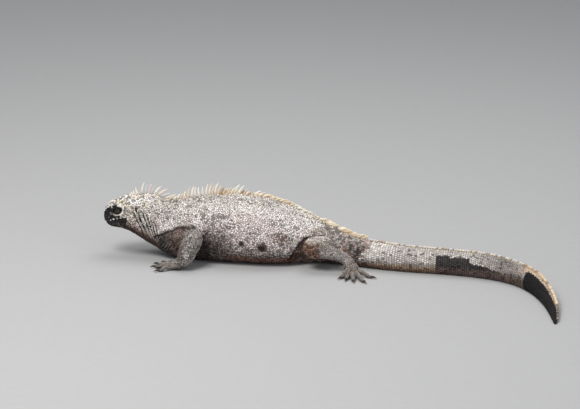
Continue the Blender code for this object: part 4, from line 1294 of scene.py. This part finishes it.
def scale_spacing(places):
    """Distance between neighbouring scales at each place."""
    s, side = places.s, places.side
    body = 2.5 + 0.4 * ramp(s, 90, 180) - 0.3 * ramp(side, 100, 140)
    body = body + 0.5 * fade(side, 8, 30) * ramp(s, 90, 150)
    crown = 4.3 - 1.5 * ramp(side, 30, 60) - 1.1 * fade(s, 2, 18)
    jaw = 2.15 + 0.5 * hill(s - 46, 14)
    head = np.where(side < 60, crown, jaw)
    share = ramp(s, 52, 70)
    trunk = head * (1 - share) + body * share
    limb = np.where(places.part >= 3, 1.7, np.where(places.part == 2, 2.0, 2.4))
    return np.where(places.on_limb > 0.5, limb, trunk)


def scales_allowed(places):
    """Which places bear granular scales: not the tail, folds, lips, eyes, ears or digits' tops."""
    s, points, on_limb = places.s, places.points, places.on_limb > 0.5
    allowed = (s < TAIL_SCALES_START + 4) | on_limb
    allowed &= points[:, 2] > FLOOR_GAP * MM
    allowed &= neck_folds(places)[1] < 0.34
    mouth = np.abs(arc(places, mouth_angle(s), 3))
    allowed &= ~((mouth < 3.1) & (s < MOUTH_CORNER + 0.5) & (places.on_limb < 0.5))
    for sign in (1, -1):
        allowed &= eye_distance(points, sign) > EYE_CLEAR
        allowed &= nostril_distance(points, sign) > 2.5
        allowed &= ear_distance(points, sign) > EAR_RADIUS + 0.2
    top = (places.part >= 3) & on_limb & (np.sin(places.turn) > 0.25) & (places.reach > 8)
    return allowed & ~top


def scatter(points, spacing, seed):
    """Indices of points that keep their own spacing from each other."""
    tree = tree_of(points)
    listed = points.tolist()
    gone = bytearray(len(points))
    reach = (spacing * MM).tolist()
    chosen = []
    for i in np.random.default_rng(seed).permutation(len(points)).tolist():
        if gone[i]:
            continue
        chosen.append(i)
        for _, j, _ in tree.find_range(listed[i], reach[i]):
            gone[j] = 1
    return np.array(sorted(chosen))


def neighbour_gap(points, count=5):
    """Mean distance in mm to the nearest few of the same points."""
    tree = tree_of(points)
    gaps = [sum(d for _, _, d in tree.find_n(p, count + 1)) / count for p in points.tolist()]
    return np.array(gaps) / MM


def in_gaps(points, chosen, spacing):
    """Indices of the points that lie in the gaps left between the chosen ones."""
    tree = tree_of(chosen)
    apart = np.array([tree.find(p)[2] for p in points.tolist()]) / MM
    return np.where(apart > 0.74 * spacing)[0]


def dome_template(sides, rings):
    """Plan places and heights of a rounded scale, rings then its top, with its faces."""
    radii = np.array(column(rings, 0))
    plan = np.concatenate([(radii[:, None, None] * circle(turns(sides))).reshape(-1, 2), [[0, 0]]])
    height = np.append(np.repeat(column(rings, 1), sides), 1.0)
    j = np.arange(sides)
    k = (j + 1) % sides
    starts = np.arange(len(rings)) * sides
    faces = [np.stack([r + j, r + k, r + sides + k, r + sides + j], -1) for r in starts[:-1]]
    top = np.full(sides, len(rings) * sides)
    return plan, height, [*faces, np.stack([starts[-1] + j, starts[-1] + k, top], -1)]


def scale_mesh(
    name, roots, normals, tails, radius, height, lean, colours, uv, rings, material, seed, sides=6
):
    """Many rounded scales as one mesh. `lean` moves each top towards the tail."""
    draw = np.random.default_rng(seed)
    plan, lift, blocks = dome_template(sides, rings)
    n, m = len(roots), len(plan)
    back = unit(tails - normals * (tails * normals).sum(1, keepdims=True))
    across = np.cross(normals, back)
    spin = draw.uniform(0, np.pi, n)
    c, s = np.cos(spin)[:, None], np.sin(spin)[:, None]
    uneven = 1 + 0.16 * draw.uniform(-1, 1, (n, sides))
    uneven = np.concatenate([np.tile(uneven, (1, len(rings))), np.ones((n, 1))], 1)
    x = (plan[None, :, 0] * c - plan[None, :, 1] * s) * uneven * radius[:, None]
    y = (plan[None, :, 0] * s + plan[None, :, 1] * c) * uneven * radius[:, None]
    z = np.where(lift < 0, lift[None] * np.ones((n, 1)), lift[None] * height[:, None])
    x = x + np.clip(lift, 0, 1)[None] * (lean * radius)[:, None]
    offset = back[:, None] * x[..., None] + across[:, None] * y[..., None]
    points = roots[:, None] + (offset + normals[:, None] * z[..., None]) * MM
    points[..., 2] = np.maximum(points[..., 2], 0.0)
    first = (np.arange(n) * m)[:, None, None]
    blocks = [(block[None] + first).reshape(-1, block.shape[1]) for block in blocks]
    # painted light and shade on each scale: its top lighter, its foot darker
    shade = np.where(lift > 0.5, 1.08, 0.82)
    return mesh_object(
        name, points.reshape(-1, 3), blocks, material, shaded(colours, shade), patch_uvs(uv, plan)
    )


def body_scales(places, normals, colours, material):
    """The granular scales of the head, body and limbs, in several meshes. Where large ones leave a
    gap, smaller ones fill it."""
    points = places.points
    spacing = scale_spacing(places) * 1
    keep = np.where(scales_allowed(places))[0]
    chosen = keep[scatter(points[keep], spacing[keep], 12)]
    between = keep[in_gaps(points[keep], points[chosen], spacing[keep])]
    between = between[scatter(points[between], spacing[between] * 0.6, 14)]
    small = np.arange(len(chosen) + len(between)) >= len(chosen)
    chosen = np.concatenate([chosen, between])
    part = places.take(chosen)
    out = normals[chosen]
    draw = np.random.default_rng(13)
    step = unit(np.cross(out, draw.normal(size=out.shape)))
    shift = draw.uniform(0, 0.22, len(out)) * VOXEL * 1.6
    roots = points[chosen] + step * shift[:, None]
    radius = np.clip(neighbour_gap(roots) * 0.58, 0.5, spacing[chosen] * 0.72)
    radius = np.where(small, spacing[chosen] * 0.39, radius)
    heading = np.radians(curve(HEADINGS, part.s))
    tails = np.stack([np.cos(heading), np.sin(heading), np.zeros_like(heading)], -1)
    down = np.array([0.0, 0.0, -1.0])
    off_limb = 1 - part.on_limb
    tails = unit(tails * off_limb[:, None] + down * part.on_limb[:, None] + 1e-4)
    crown = fade(part.side, 48, 62) * fade(part.s, 52, 66) * off_limb
    jowl = hill(part.s - 46, 9) * hill(part.side - 108, 16) * off_limb
    face = fade(part.s, 38, 46) * ramp(part.side, 50, 64) * off_limb
    height = radius * (0.52 + 0.1 * draw.uniform(-1, 1, len(roots)))
    height = height * (1 + 0.7 * crown + 0.6 * jowl - 0.3 * face)
    lean = 0.12 + 0.22 * part.on_limb
    tone = colours[chosen] * (speckle(part, draw) * np.where(small, 0.66, 1.06))[:, None]
    tone = np.clip(tone * (1 + draw.uniform(-1, 1, tone.shape) * (0.05, 0.025, 0.055)), 0, 0.95)
    uv = unwrap(part)
    head = (part.s < 66) & (part.on_limb < 0.5)
    rest = np.where(~head)[0]
    rest = rest[np.argsort(part.s[rest], kind="stable")]
    pieces = max(1, math.ceil(len(rest) * 18 / 150000))  # 18 triangles to a scale
    groups = [("crown_scales", np.where(head)[0], CONE_RINGS, 8)]
    for number, index in enumerate(np.array_split(rest, pieces), 1):
        groups.append((f"body_scales_{number}", index, SCALE_RINGS, 6))
    each = (roots, out, tails, radius, height, lean, tone, uv)
    return [
        scale_mesh(name, *(values[index] for values in each), rings, material, 15, sides)
        for name, index, rings, sides in groups
    ]


def pillow_template(count):
    """A padded plate's plan, from -1 to 1 along and across, with its faces."""
    line = np.linspace(-1, 1, count)
    u, v = (g.ravel() for g in np.meshgrid(line, line, indexing="ij"))
    i = np.arange(count * (count - 1)).reshape(count - 1, count)[:, :-1].ravel()
    quads = np.stack([i, i + count, i + count + 1, i + 1], -1)
    return u, v, quads


def plate_heights(u, v, keel):
    """Height share of a plate at its plan places: low at the front, highest towards the back, with
    a keel along the middle, and its rim sunk."""
    rise = 0.45 + 0.55 * (u + 1) / 2
    body = np.clip(1 - np.abs(u) ** 5, 0, 1) * np.clip(1 - np.abs(v) ** 4, 0, 1)
    ridge = keel * np.clip(1 - np.abs(v) / 0.45, 0, 1) * (0.3 + 0.7 * (u + 1) / 2)
    rim = (np.abs(u) > 0.99) | (np.abs(v) > 0.99)
    return np.where(rim, -0.5, rise * body * (1 + ridge))


def plate_mesh(name, surface, first, second, sizes, height, keel, colours, uv, material):
    """Plates set on a surface that is given by two numbers. `surface` turns arrays of both and of a
    height into points."""
    u, v, quads = pillow_template(PLATE_POINTS)
    shrink = 1 - 0.12 * np.abs(u * v)
    a = first[:, None] + u[None] * shrink * sizes[0][:, None] / 2
    b = second[:, None] + v[None] * shrink * sizes[1][:, None] / 2
    share = plate_heights(u, v, keel)
    points = surface(a, b, np.where(share < 0, -0.35, share[None] * height[:, None]))
    points[..., 2] = np.maximum(points[..., 2], 0.0)
    faces = (quads[None] + (np.arange(len(first)) * len(u))[:, None, None]).reshape(-1, 4)
    # painted light and shade on each plate: its raised middle lighter, its rim and low front darker
    tinted = shaded(colours, np.where(share > 0.4, 1.06, 0.8))
    uvs = patch_uvs(uv, np.stack([u, v], -1))
    return mesh_object(name, points.reshape(-1, 3), [faces], material, tinted, uvs)


def tail_scales(material):
    """Rings of keeled scales round the tail."""
    draw = np.random.default_rng(17)
    rows = []
    along = TAIL_SCALES_START
    ring = 0
    while along < TRUNK_END - 2:
        share = (along - TAIL_SCALES_START) / (TRUNK_END - TAIL_SCALES_START)
        pitch = WHORL - 1.6 * share
        wide = float(curve(TRUNK_STATIONS, along, 1))
        tall = float(curve(TRUNK_STATIONS, along, 4)) / 2
        around = math.pi * (3 * (wide + tall) - math.sqrt((3 * wide + tall) * (wide + 3 * tall)))
        scales = max(8, round(around / (3.5 - 1.3 * share)))
        turn = 360 / scales
        for i in range(scales):
            s = along + draw.uniform(-0.25, 0.25)
            a = (i + 0.5 * (ring % 2)) * turn + draw.uniform(-0.05, 0.05) * turn
            rows.append((s, a, pitch * 1.12, turn))
        along += pitch
        ring += 1
    rows = np.array(rows)
    places = trunk_places(rows[:, 0], rows[:, 1])
    clear = (places.points[:, 2] > FLOOR_GAP * MM) & ~inside_limbs(places.points)
    s, a, *sizes = rows[clear].T
    places = places.take(clear)
    colours = tint(places) * speckle(places, draw)[:, None]
    height = 0.55 + 0.25 * fade(s, 800, 1000) + draw.uniform(-0.08, 0.08, len(s))

    def surface(x, y, z):
        return trunk_surface(x, y, z - COAT - 0.1)

    return plate_mesh(
        "tail_scales", surface, s, a, sizes, height, 0.7, colours, unwrap(places), material
    )


def inside_limbs(points):
    inside = np.zeros(len(points), bool)
    for tubes in TUBES.values():
        for tube in tubes.values():
            inside |= tube.fields(points)[0] < -0.8
    return inside


def lip_scales(material):
    """The rows of plates along both lips."""
    draw = np.random.default_rng(19)
    deep = 2.5
    rows = []
    for sign in (1, -1):
        for offset, along in ((-1.0, 3.0), (1.0, 3.4)):
            while along < MOUTH_CORNER + 1:
                length = 3.1 + draw.uniform(-0.3, 0.3)
                middle = along + length / 2
                slope = float(mouth_angle(middle + 1) - mouth_angle(middle - 1)) / 2
                width = float(trunk_width(middle))
                length = length / math.hypot(1, math.radians(slope) * width)
                middle = along + length / 2
                below = math.degrees(offset * (0.75 + deep / 2) / width)
                angle = sign * (float(mouth_angle(middle)) + below)
                rows.append((middle, angle, length * 0.98, math.degrees(deep / width)))
                along += length
    s, a, *sizes = np.array(rows).T
    places = trunk_places(s, a)
    colours = tint(places) * draw.uniform(0.8, 1.2, len(s))[:, None]

    def surface(x, y, z):
        bend = np.sign(y) * (mouth_angle(x) - mouth_angle(s)[:, None])
        return trunk_surface(x, y + bend, z - COAT + 0.4)

    height = np.full(len(s), 0.8)
    return plate_mesh(
        "lip_scales", surface, s, a, sizes, height, 0.0, colours, unwrap(places), material
    )


def digit_scales(material):
    """Rows of plates across the top of each finger and toe."""
    draw = np.random.default_rng(23)
    made = Gathered()
    u, v, quads = pillow_template(4)
    share = plate_heights(u, v, 0.25)
    plates = [
        (limb, tube, middle, turn)
        for limb, tubes in enumerate(TUBES.values())
        for name, tube in tubes.items()
        if name.startswith("digit")
        for middle in np.arange(8.5, tube.total - 0.5, 2.15)
        for turn in (40, 90, 140)
    ]
    for limb, tube, middle, turn in plates:
        wide, shift = (56, 0) if turn == 90 else (46, 1.0)
        place = np.minimum(np.full(len(u), middle + shift) + u * 1.25, tube.total)
        height = 0.5 + draw.uniform(-0.06, 0.06)
        lift = np.where(share < 0, -0.35, share * height) - COAT * 0.8
        points, out, _ = tube.place(place, np.radians(turn + v * wide / 2))
        points = points + out * (lift * MM)[:, None]
        places = Places.known(points.mean(0)[None], limb=limb, part=3, on_limb=1.0)
        tone = limb_tint(places) * draw.uniform(0.85, 1.35)
        # painted light and shade on each plate: its raised middle lighter, its rim darker
        tinted = shaded(tone, np.where(share > 0.4, 1.05, 0.75))
        uvs = patch_uvs(unwrap(places), np.stack([u, v], -1))
        points[:, 2] = np.maximum(points[:, 2], 0)
        made.add(points, [quads], tinted, uvs)
    return made.mesh("digit_scales", material)


def spine_rings(base, out, back, height, lean, length, thickness, sizes, draw):
    """One crest spine: a blade that tapers and curves towards the tail, as rings of points."""
    side = np.cross(out, back)
    tilt = draw.uniform(-5, 5)
    turn = turns(SPINE_SIDES)
    rings = []
    last = 0.0
    curl = 16 + 0.5 * height
    for level, size in zip(SPINE_LEVELS, sizes):
        angle = math.radians(lean + curl * (max(level, 0) - 0.45))
        way = out * math.cos(angle) + back * math.sin(angle) + side * math.sin(math.radians(tilt))
        way = way / np.linalg.norm(way)
        if level < 0:
            centre = base - out * (2.5 * MM)
        elif level == 0:
            centre = base.copy()
        else:
            centre = centre + way * (height * (level - last) * MM)
        last = max(level, 0)
        flat = unit(back - way * (back @ way))
        offset = flat[None] * (np.cos(turn) * length / 2 * size * MM)[:, None]
        offset = offset + side[None] * (np.sin(turn) * thickness / 2 * size * MM)[:, None]
        rings.append(centre[None] + offset)
    return np.concatenate(rings)


def crest(material):
    """The spines of the neck, back and tail."""
    draw = random.Random(29)
    wanted = [(s, h, lean, name, SPINE_SPACING, False) for s, h, lean, name in SPINES]
    for start, end, spacing, h0, h1, lean0, lean1, names in CREST_RUNS:
        count = max(1, round((end - start) / spacing))
        for i in range(count):
            t = i / max(count - 1, 1)
            s = start + (end - start) * (i + 0.5) / count + draw.uniform(-0.2, 0.2)
            height = (h0 + (h1 - h0) * t) * draw.uniform(0.9, 1.08)
            lean = lean0 + (lean1 - lean0) * t + draw.uniform(-3, 3)
            blunt = BLUNT_SPINES[0] < s < BLUNT_SPINES[1]
            wanted.append((s, height, lean, draw.choice(names), spacing * 1.1, blunt))
    made = Gathered()
    blocks = tube_faces(len(SPINE_LEVELS), SPINE_SIDES)
    radius = 1 - np.clip(SPINE_LEVELS, 0, 1)[:, None, None]
    local = (radius * circle(turns(SPINE_SIDES))).reshape(-1, 2)
    root_share = ramp(SPINE_LEVELS, -0.1, 0.3)[:, None]
    rims = {"orange": "cream", "cream": "orange"}
    for s, height, lean, name, spacing, blunt in wanted:
        angle = draw.uniform(-1.2, 1.2)
        base, out, back = frame_at(s, angle)
        length = min(0.95 * spacing, 3.0 + 0.1 * height) * (1.15 if blunt else 1)
        thickness = 1.9 + 0.06 * height
        base = base - out * (COAT - 0.8) * MM
        sizes = BLUNT_SIZES if blunt else SHARP_SIZES
        points = spine_rings(base, out, back, height, lean, length, thickness, sizes, draw)
        colour = np.minimum(COLOURS[name] * draw.uniform(0.95, 1.1), 0.96)
        root = COLOURS["tan" if name in ("orange", "cream", "tan") else "grey"]
        colours = root * (1 - root_share) + colour * root_share
        if name in rims:
            colours = mixed(colours, rims[name], 0.5 * ramp(SPINE_LEVELS, 0.6, 1.0))
        colours = np.repeat(colours, SPINE_SIDES, axis=0)
        made.add(points, blocks, colours, uv_at(s, angle) + local * PATCH / 2)
    return made.mesh("crest", material)


def eye_axes(sign):
    """The eye's centre, its outward axis, and the axes along and up the lids' opening."""
    surface, out, _ = frame_at(EYE_ALONG, sign * EYE_ANGLE)
    centre = surface - out * (EYE_SUNK * MM)
    along = unit(np.array([1.0, 0, 0]) - out * out[0])
    up = np.cross(out, along)
    return centre, out, along, up if up[2] > 0 else -up


def eyeball(name, sign, material):
    """An eyeball with a cornea that swells over the iris."""
    centre, out, along, up = eye_axes(sign)
    rings, sides = 40, 48
    tilt = np.linspace(0.02, math.pi * 0.98, rings)
    degrees = np.degrees(tilt)
    turn = turns(sides)
    radius = EYE_RADIUS * (1 + 0.035 * hill(degrees, 32))
    aside = (radius * np.sin(tilt))[:, None, None]
    points = centre + (
        out * (radius * np.cos(tilt))[:, None, None]
        + along * aside * np.cos(turn)[None, :, None]
        + up * aside * np.sin(turn)[None, :, None]
    ) * MM
    streak = 0.5 + 0.5 * np.sin(turn * 23) * np.sin(turn * 9 + 1)
    iris = np.array([0.06, 0.048, 0.022])
    rim = np.array([0.018, 0.013, 0.01])
    inner = ramp(degrees, 19, 22)[:, None, None]
    outer = ramp(degrees, 40, 47)[:, None, None]
    ring = (1 + 1.2 * hill(degrees - 23, 3.5))[:, None, None]
    coloured = iris[None, None] * (0.6 + 0.7 * streak)[None, :, None] * ring
    shade = coloured * inner * (1 - outer) + rim * outer + 0.002
    return mesh_object(
        name, points.reshape(-1, 3), tube_faces(rings, sides), material, shade.reshape(-1, 3)
    )


def lid_point(sign, turn, q, lift):
    """A point of the lids: `turn` round the opening and `q` from its edge, 0, to the skin, 1."""
    centre, out, along, up = eye_axes(sign)
    droop = np.where(np.sin(turn) > 0, 0.88, 1.0)
    x = EYE_HALF_WIDTH * (1 + 0.95 * q) * np.cos(turn)
    y = EYE_HALF_HEIGHT * (1 + 1.0 * q) * np.sin(turn) * np.where(q < 0.3, droop, 1)
    ball = EYE_RADIUS + 0.35 + lift
    height = np.sqrt(np.maximum(ball**2 - x**2 - y**2, 0.5))
    on_ball = centre + (along * x[..., None] + up * y[..., None] + out * height[..., None]) * MM
    on_skin = trunk_surface(*beside_eye(sign, x, y), lift - COAT)
    share = ramp(q, 0.22, 0.85)[..., None]
    return on_ball * (1 - share) + on_skin * share


def beside_eye(sign, x, y):
    """Distance and angle of the skin `x` behind the eye's middle and `y` above it."""
    width = float(trunk_width(EYE_ALONG))
    return EYE_ALONG + x, sign * (EYE_ANGLE - np.degrees(y / (width * 1.12)))


def eyelids(sign, side, material):
    """Both lids of one eye: a thick rim, then folds that run into the skin."""
    rings, sides = 22, 72
    q, turn = np.meshgrid(np.linspace(0, 1, rings), turns(sides), indexing="ij")
    rim = 0.85 * hill(q - 0.1, 0.09) * (1 + 0.35 * np.maximum(np.sin(turn), 0))
    folds = 0.42 * hill(q - 0.42, 0.1) + 0.36 * hill(q - 0.7, 0.1)
    edge = -0.45 * (q < 0.01) - 1.2 * ramp(q, 0.86, 1.0)
    lift = rim + folds + edge + 0.1 * np.sin(turn * 17 + 9 * q)
    points = lid_point(sign, turn, q, lift)
    skin = np.broadcast_to(COLOURS["black"] * 0.9, (rings, sides, 3))
    lower = ramp(-np.sin(turn), 0.1, 0.6) * hill(q - 0.74, 0.12)
    skin = skin + (COLOURS["ochre"] - skin) * (0.5 * lower)[..., None]
    skin = skin * (1 + 1.2 * hill(q - 0.12, 0.08) + 0.5 * hill(q - 0.42, 0.08))[..., None]
    local = (circle(turn) * (0.2 + q)[..., None]).reshape(-1, 2)
    uvs = uv_at(EYE_ALONG, sign * EYE_ANGLE) + local * 0.012
    quads = tube_faces(rings, sides)[0]
    return mesh_object(
        f"eyelids_{side}", points.reshape(-1, 3), [quads], material, skin.reshape(-1, 3), uvs
    )


def lid_beads(material):
    """Small bead scales along the lids' rims and folds."""
    draw = np.random.default_rng(37)
    rows = []
    for sign in (1, -1):
        base = uv_at(EYE_ALONG, sign * EYE_ANGLE)
        for number, (q, count, size) in enumerate(BEAD_ROWS):
            turn = 2 * np.pi * (np.arange(count) + 0.5 * (number % 2)) / count
            turn = turn + draw.uniform(-0.02, 0.02, count)
            where = np.full(count, q)
            rim = 0.75 if q < 0.2 else 0.25
            here, above = (
                lid_point(sign, turn, where, np.full(count, rim + rise)) for rise in (0, 0.5)
            )
            radius = size * draw.uniform(0.85, 1.1, count)
            tone = np.tile(COLOURS["black"] * 1.2, (count, 1))
            if q > 0.8:
                x = EYE_HALF_WIDTH * 1.95 * np.cos(turn)
                skin = trunk_places(*beside_eye(sign, x, 2 * EYE_HALF_HEIGHT * np.sin(turn)))
                tone = tone + (trunk_tint(skin) - tone) * (1.0 if q > 1 else 0.4)
            lower = ramp(-np.sin(turn - 0.25), 0.15, 0.6) * (0.7 < q < 0.95)
            tone = mixed(tone, "grey", 0.9 * lower)
            tone = mixed(tone, "chalk", 0.9 * lower * ramp(np.cos(turn), -0.9, 0.6))
            tone = tone * draw.uniform(0.8, 1.15, count)[:, None]
            uv = base + circle(turn) * (0.015 + 0.014 * q)
            rows.append((here, unit(above - here), radius, tone, uv))
    roots, normals, radius, colours, uv = (np.concatenate(column(rows, i)) for i in range(5))
    tails = np.tile([1.0, 0.0, 0.0], (len(roots), 1))
    return scale_mesh(
        "lid_scales", roots, normals, tails, radius, radius * 0.6, np.zeros(len(roots)),
        colours, uv, SCALE_RINGS, material, 38,
    )


def claw(name, tube, material, draw):
    """A curved horny claw from a digit's end down towards the floor."""
    ahead, across = plan_axes(tube.heading)
    rings, sides = 18, 14
    t = np.linspace(0, 1, rings)
    rise = smooth(t, (0, 0.25, 0.5, 0.75, 1.0), (0.1, 0.85, 0.9, 0.15, -1.3))
    size = smooth(t, (0, 0.2, 0.5, 0.8, 1.0), (1.0, 0.93, 0.72, 0.4, 0.05))
    turn = turns(sides)
    half = CLAW_RADIUS * size * 0.98
    centre = tube.centre[-1] + ahead * 0.45 + ahead[None] * (t * CLAW_LENGTH)[:, None]
    centre[:, 2] += rise
    low = np.minimum(half * 0.95, centre[:, 2] - 0.25)
    lift = np.where(np.sin(turn)[None] > 0, half[:, None], np.maximum(low, 0.05)[:, None])
    points = centre[:, None] + across * (0.72 * half[:, None] * np.cos(turn))[..., None]
    points = points + np.array([0, 0, 1.0]) * (lift * np.sin(turn)[None])[..., None]
    horn = srgb(58, 50, 46) * draw.uniform(0.8, 1.3)
    share = ramp(t, 0.55, 1.0)[:, None] * 0.55
    colours = np.repeat(horn * (1 - share) + srgb(150, 128, 104) * share, sides, axis=0)
    points = points.reshape(-1, 3) * MM
    return mesh_object(name, points, tube_faces(rings, sides), material, colours)


class Look:
    """A node material in the making. Its textures follow the object's own coordinates."""

    def __init__(self, name, roughness, specular):
        self.material = bpy.data.materials.new(name)
        self.material.use_nodes = True
        self.nodes = self.material.node_tree.nodes
        self.link = self.material.node_tree.links.new
        self.shader = self.nodes["Principled BSDF"].inputs
        self.shader["Roughness"].default_value = roughness
        self.shader["Specular IOR Level"].default_value = specular
        self.place = self.add("ShaderNodeTexCoord").outputs["Object"]

    def add(self, kind, settings=None, **properties):
        node = self.nodes.new(kind)
        for key, value in (settings or {}).items():
            node.inputs[key].default_value = value
        for key, value in properties.items():
            setattr(node, key, value)
        return node

    def noise(self, scale, detail, roughness=0.5):
        settings = {"Scale": scale, "Detail": detail, "Roughness": roughness}
        return self.texture("ShaderNodeTexNoise", settings).outputs["Fac"]

    def texture(self, kind, settings):
        node = self.add(kind, settings)
        self.link(self.place, node.inputs["Vector"])
        return node

    def mapped(self, source, low, high, start=0.0, end=1.0):
        """A value moved from the range `start` to `end` to the range `low` to `high`."""
        ends = {"From Min": start, "From Max": end, "To Min": low, "To Max": high}
        node = self.add("ShaderNodeMapRange", ends)
        self.link(source, node.inputs["Value"])
        return node.outputs["Result"]

    def tinted(self, factor):
        """Takes the base colour from the mesh's own tint, times a factor."""
        attribute = self.add("ShaderNodeAttribute", attribute_name="tint")
        scaled = self.add("ShaderNodeVectorMath", operation="SCALE")
        self.link(attribute.outputs["Color"], scaled.inputs[0])
        self.link(factor, scaled.inputs["Scale"])
        self.link(scaled.outputs["Vector"], self.shader["Base Color"])

    def bump(self, height, strength, depth, under=None, invert=False):
        """A bump over the one under it."""
        node = self.add("ShaderNodeBump", {"Strength": strength, "Distance": depth}, invert=invert)
        self.link(height, node.inputs["Height"])
        if under:
            self.link(under, node.inputs["Normal"])
        return node.outputs["Normal"]


def painted(name, roughness, spread, contrast, cells, depth, specular):
    """Takes the mesh's own tint, breaks it up with fine specks, and adds grain: `cells` is the
    number of small scale cells to the metre, `depth` that of the grain in metres."""
    look = Look(name, roughness, specular)
    grain = look.noise(cells * 2.2, 4.0, 0.6)
    patches = look.noise(cells * 0.35, 3.0, 0.55)
    cell = look.texture("ShaderNodeTexVoronoi", {"Scale": cells, "Randomness": 0.85})
    look.tinted(look.mapped(grain, 1 - contrast, 1 + contrast, 0.25, 0.75))
    rough = look.mapped(patches, roughness - spread, roughness + spread, 0.3, 0.7)
    look.link(rough, look.shader["Roughness"])
    coarse = look.bump(cell.outputs["Distance"], 0.7, depth, invert=True)
    look.link(look.bump(grain, 0.5, depth * 0.35, coarse), look.shader["Normal"])
    return look.material


def eye_material():
    """A wet dark eye: the tint gives iris and pupil, under a clear coat."""
    look = Look("eye_wet", 0.16, 0.25)
    look.tinted(look.mapped(look.noise(2600.0, 3.0), 0.6, 1.4))
    look.shader["Coat Weight"].default_value = 0.6
    look.shader["Coat Roughness"].default_value = 0.02
    return look.material


def camera_and_light():
    """The photograph's view from a low height at the animal's left, in soft studio light."""
    scene = bpy.context.scene
    tilt, roll, pixel = math.radians(CAMERA_TILT), math.radians(CAMERA_ROLL), PIXEL_MM * MM
    right = Vector((1, 0, 0))
    ahead = Vector((0, math.cos(tilt), -math.sin(tilt)))
    up = right.cross(ahead)
    right, up = (
        right * math.cos(roll) + up * math.sin(roll),
        up * math.cos(roll) - right * math.sin(roll),
    )
    lens = bpy.data.cameras.new("camera")
    lens.sensor_fit = "HORIZONTAL"
    lens.sensor_width = SENSOR
    lens.lens = CAMERA_DISTANCE / pixel * SENSOR / PHOTO_SIZE[0]
    lens.clip_end = 100
    camera = bpy.data.objects.new("camera", lens)
    aside = (PHOTO_SIZE[0] / 2 - PHOTO_ORIGIN[0]) * pixel
    above = (PHOTO_ORIGIN[1] - PHOTO_SIZE[1] / 2) * pixel
    place = ahead * -CAMERA_DISTANCE + right * aside + up * above
    turn = Matrix((right, up, -ahead)).transposed()
    camera.matrix_world = Matrix.Translation(place) @ turn.to_4x4()
    scene.collection.objects.link(camera)
    scene.camera = camera
    for name, place, size, power, colour in LIGHTS:
        lamp = bpy.data.lights.new(name, "AREA")
        lamp.size = size
        lamp.energy = power
        lamp.color = colour
        thing = bpy.data.objects.new(name, lamp)
        thing.location = place
        thing.rotation_euler = (-Vector(place)).to_track_quat("-Z", "Y").to_euler()
        scene.collection.objects.link(thing)
    world = bpy.data.worlds.new("studio")
    world.use_nodes = True
    sky = world.node_tree.nodes["Background"].inputs
    sky["Color"].default_value = (0.9, 0.92, 0.95, 1)
    sky["Strength"].default_value = 0.42
    scene.world = world
    scene.view_settings.view_transform = "Standard"


def stage_floor():
    look = Look("floor_paper", 0.9, 0.2)
    look.link(look.mapped(look.noise(60.0, 3.0), 0.46, 0.49), look.shader["Base Color"])
    points = np.array([(-8, -8, 0), (8, -8, 0), (8, 8, 0), (-8, 8, 0)], float)
    floor = mesh_object("floor", points, [np.array([[0, 1, 2, 3]])], look.material)
    floor.location.z = -0.0004


def dress(piece, slot_name, *nodes):
    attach(piece, "root")
    if nodes:
        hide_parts(*nodes)


def main():
    hide = painted("hide", 0.85, 0.06, 0.16, 430.0, 0.0005, 0.2)
    scale_skin = painted("scale_horn", 0.72, 0.08, 0.14, 900.0, 0.00022, 0.3)
    spine_horn = painted("spine_horn", 0.6, 0.08, 0.12, 700.0, 0.00022, 0.35)
    claw_horn = painted("claw_horn", 0.42, 0.08, 0.2, 620.0, 0.00015, 0.45)
    wet = eye_material()
    skin, places, normals, colours = build_skin(hide)
    flesh = [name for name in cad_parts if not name.startswith(("eye_", "claw_"))]
    dress(skin, "skin", *flesh)
    for piece in body_scales(places, normals, colours, scale_skin):
        dress(piece, "skin")
    for make in (tail_scales, lip_scales, digit_scales, lid_beads):
        dress(make(scale_skin), "skin")
    dress(crest(spine_horn), "skin")
    for sign, side in ((1, "left"), (-1, "right")):
        dress(eyeball(f"eyeball_{side}", sign, wet), "eye", f"eye_{side}")
        dress(eyelids(sign, side, scale_skin), "skin")
    draw = random.Random(43)
    for limb, tubes in TUBES.items():
        kind, side = limb.split("_")
        part = "hand" if kind == "fore" else "foot"
        for number in range(1, 6):
            piece = claw(f"{part}_{side}_claw_{number}", tubes[f"digit_{number}"], claw_horn, draw)
            dress(piece, "claw", f"claw_{part}_{side}_{number}")
    camera_and_light()
    stage_floor()


main()
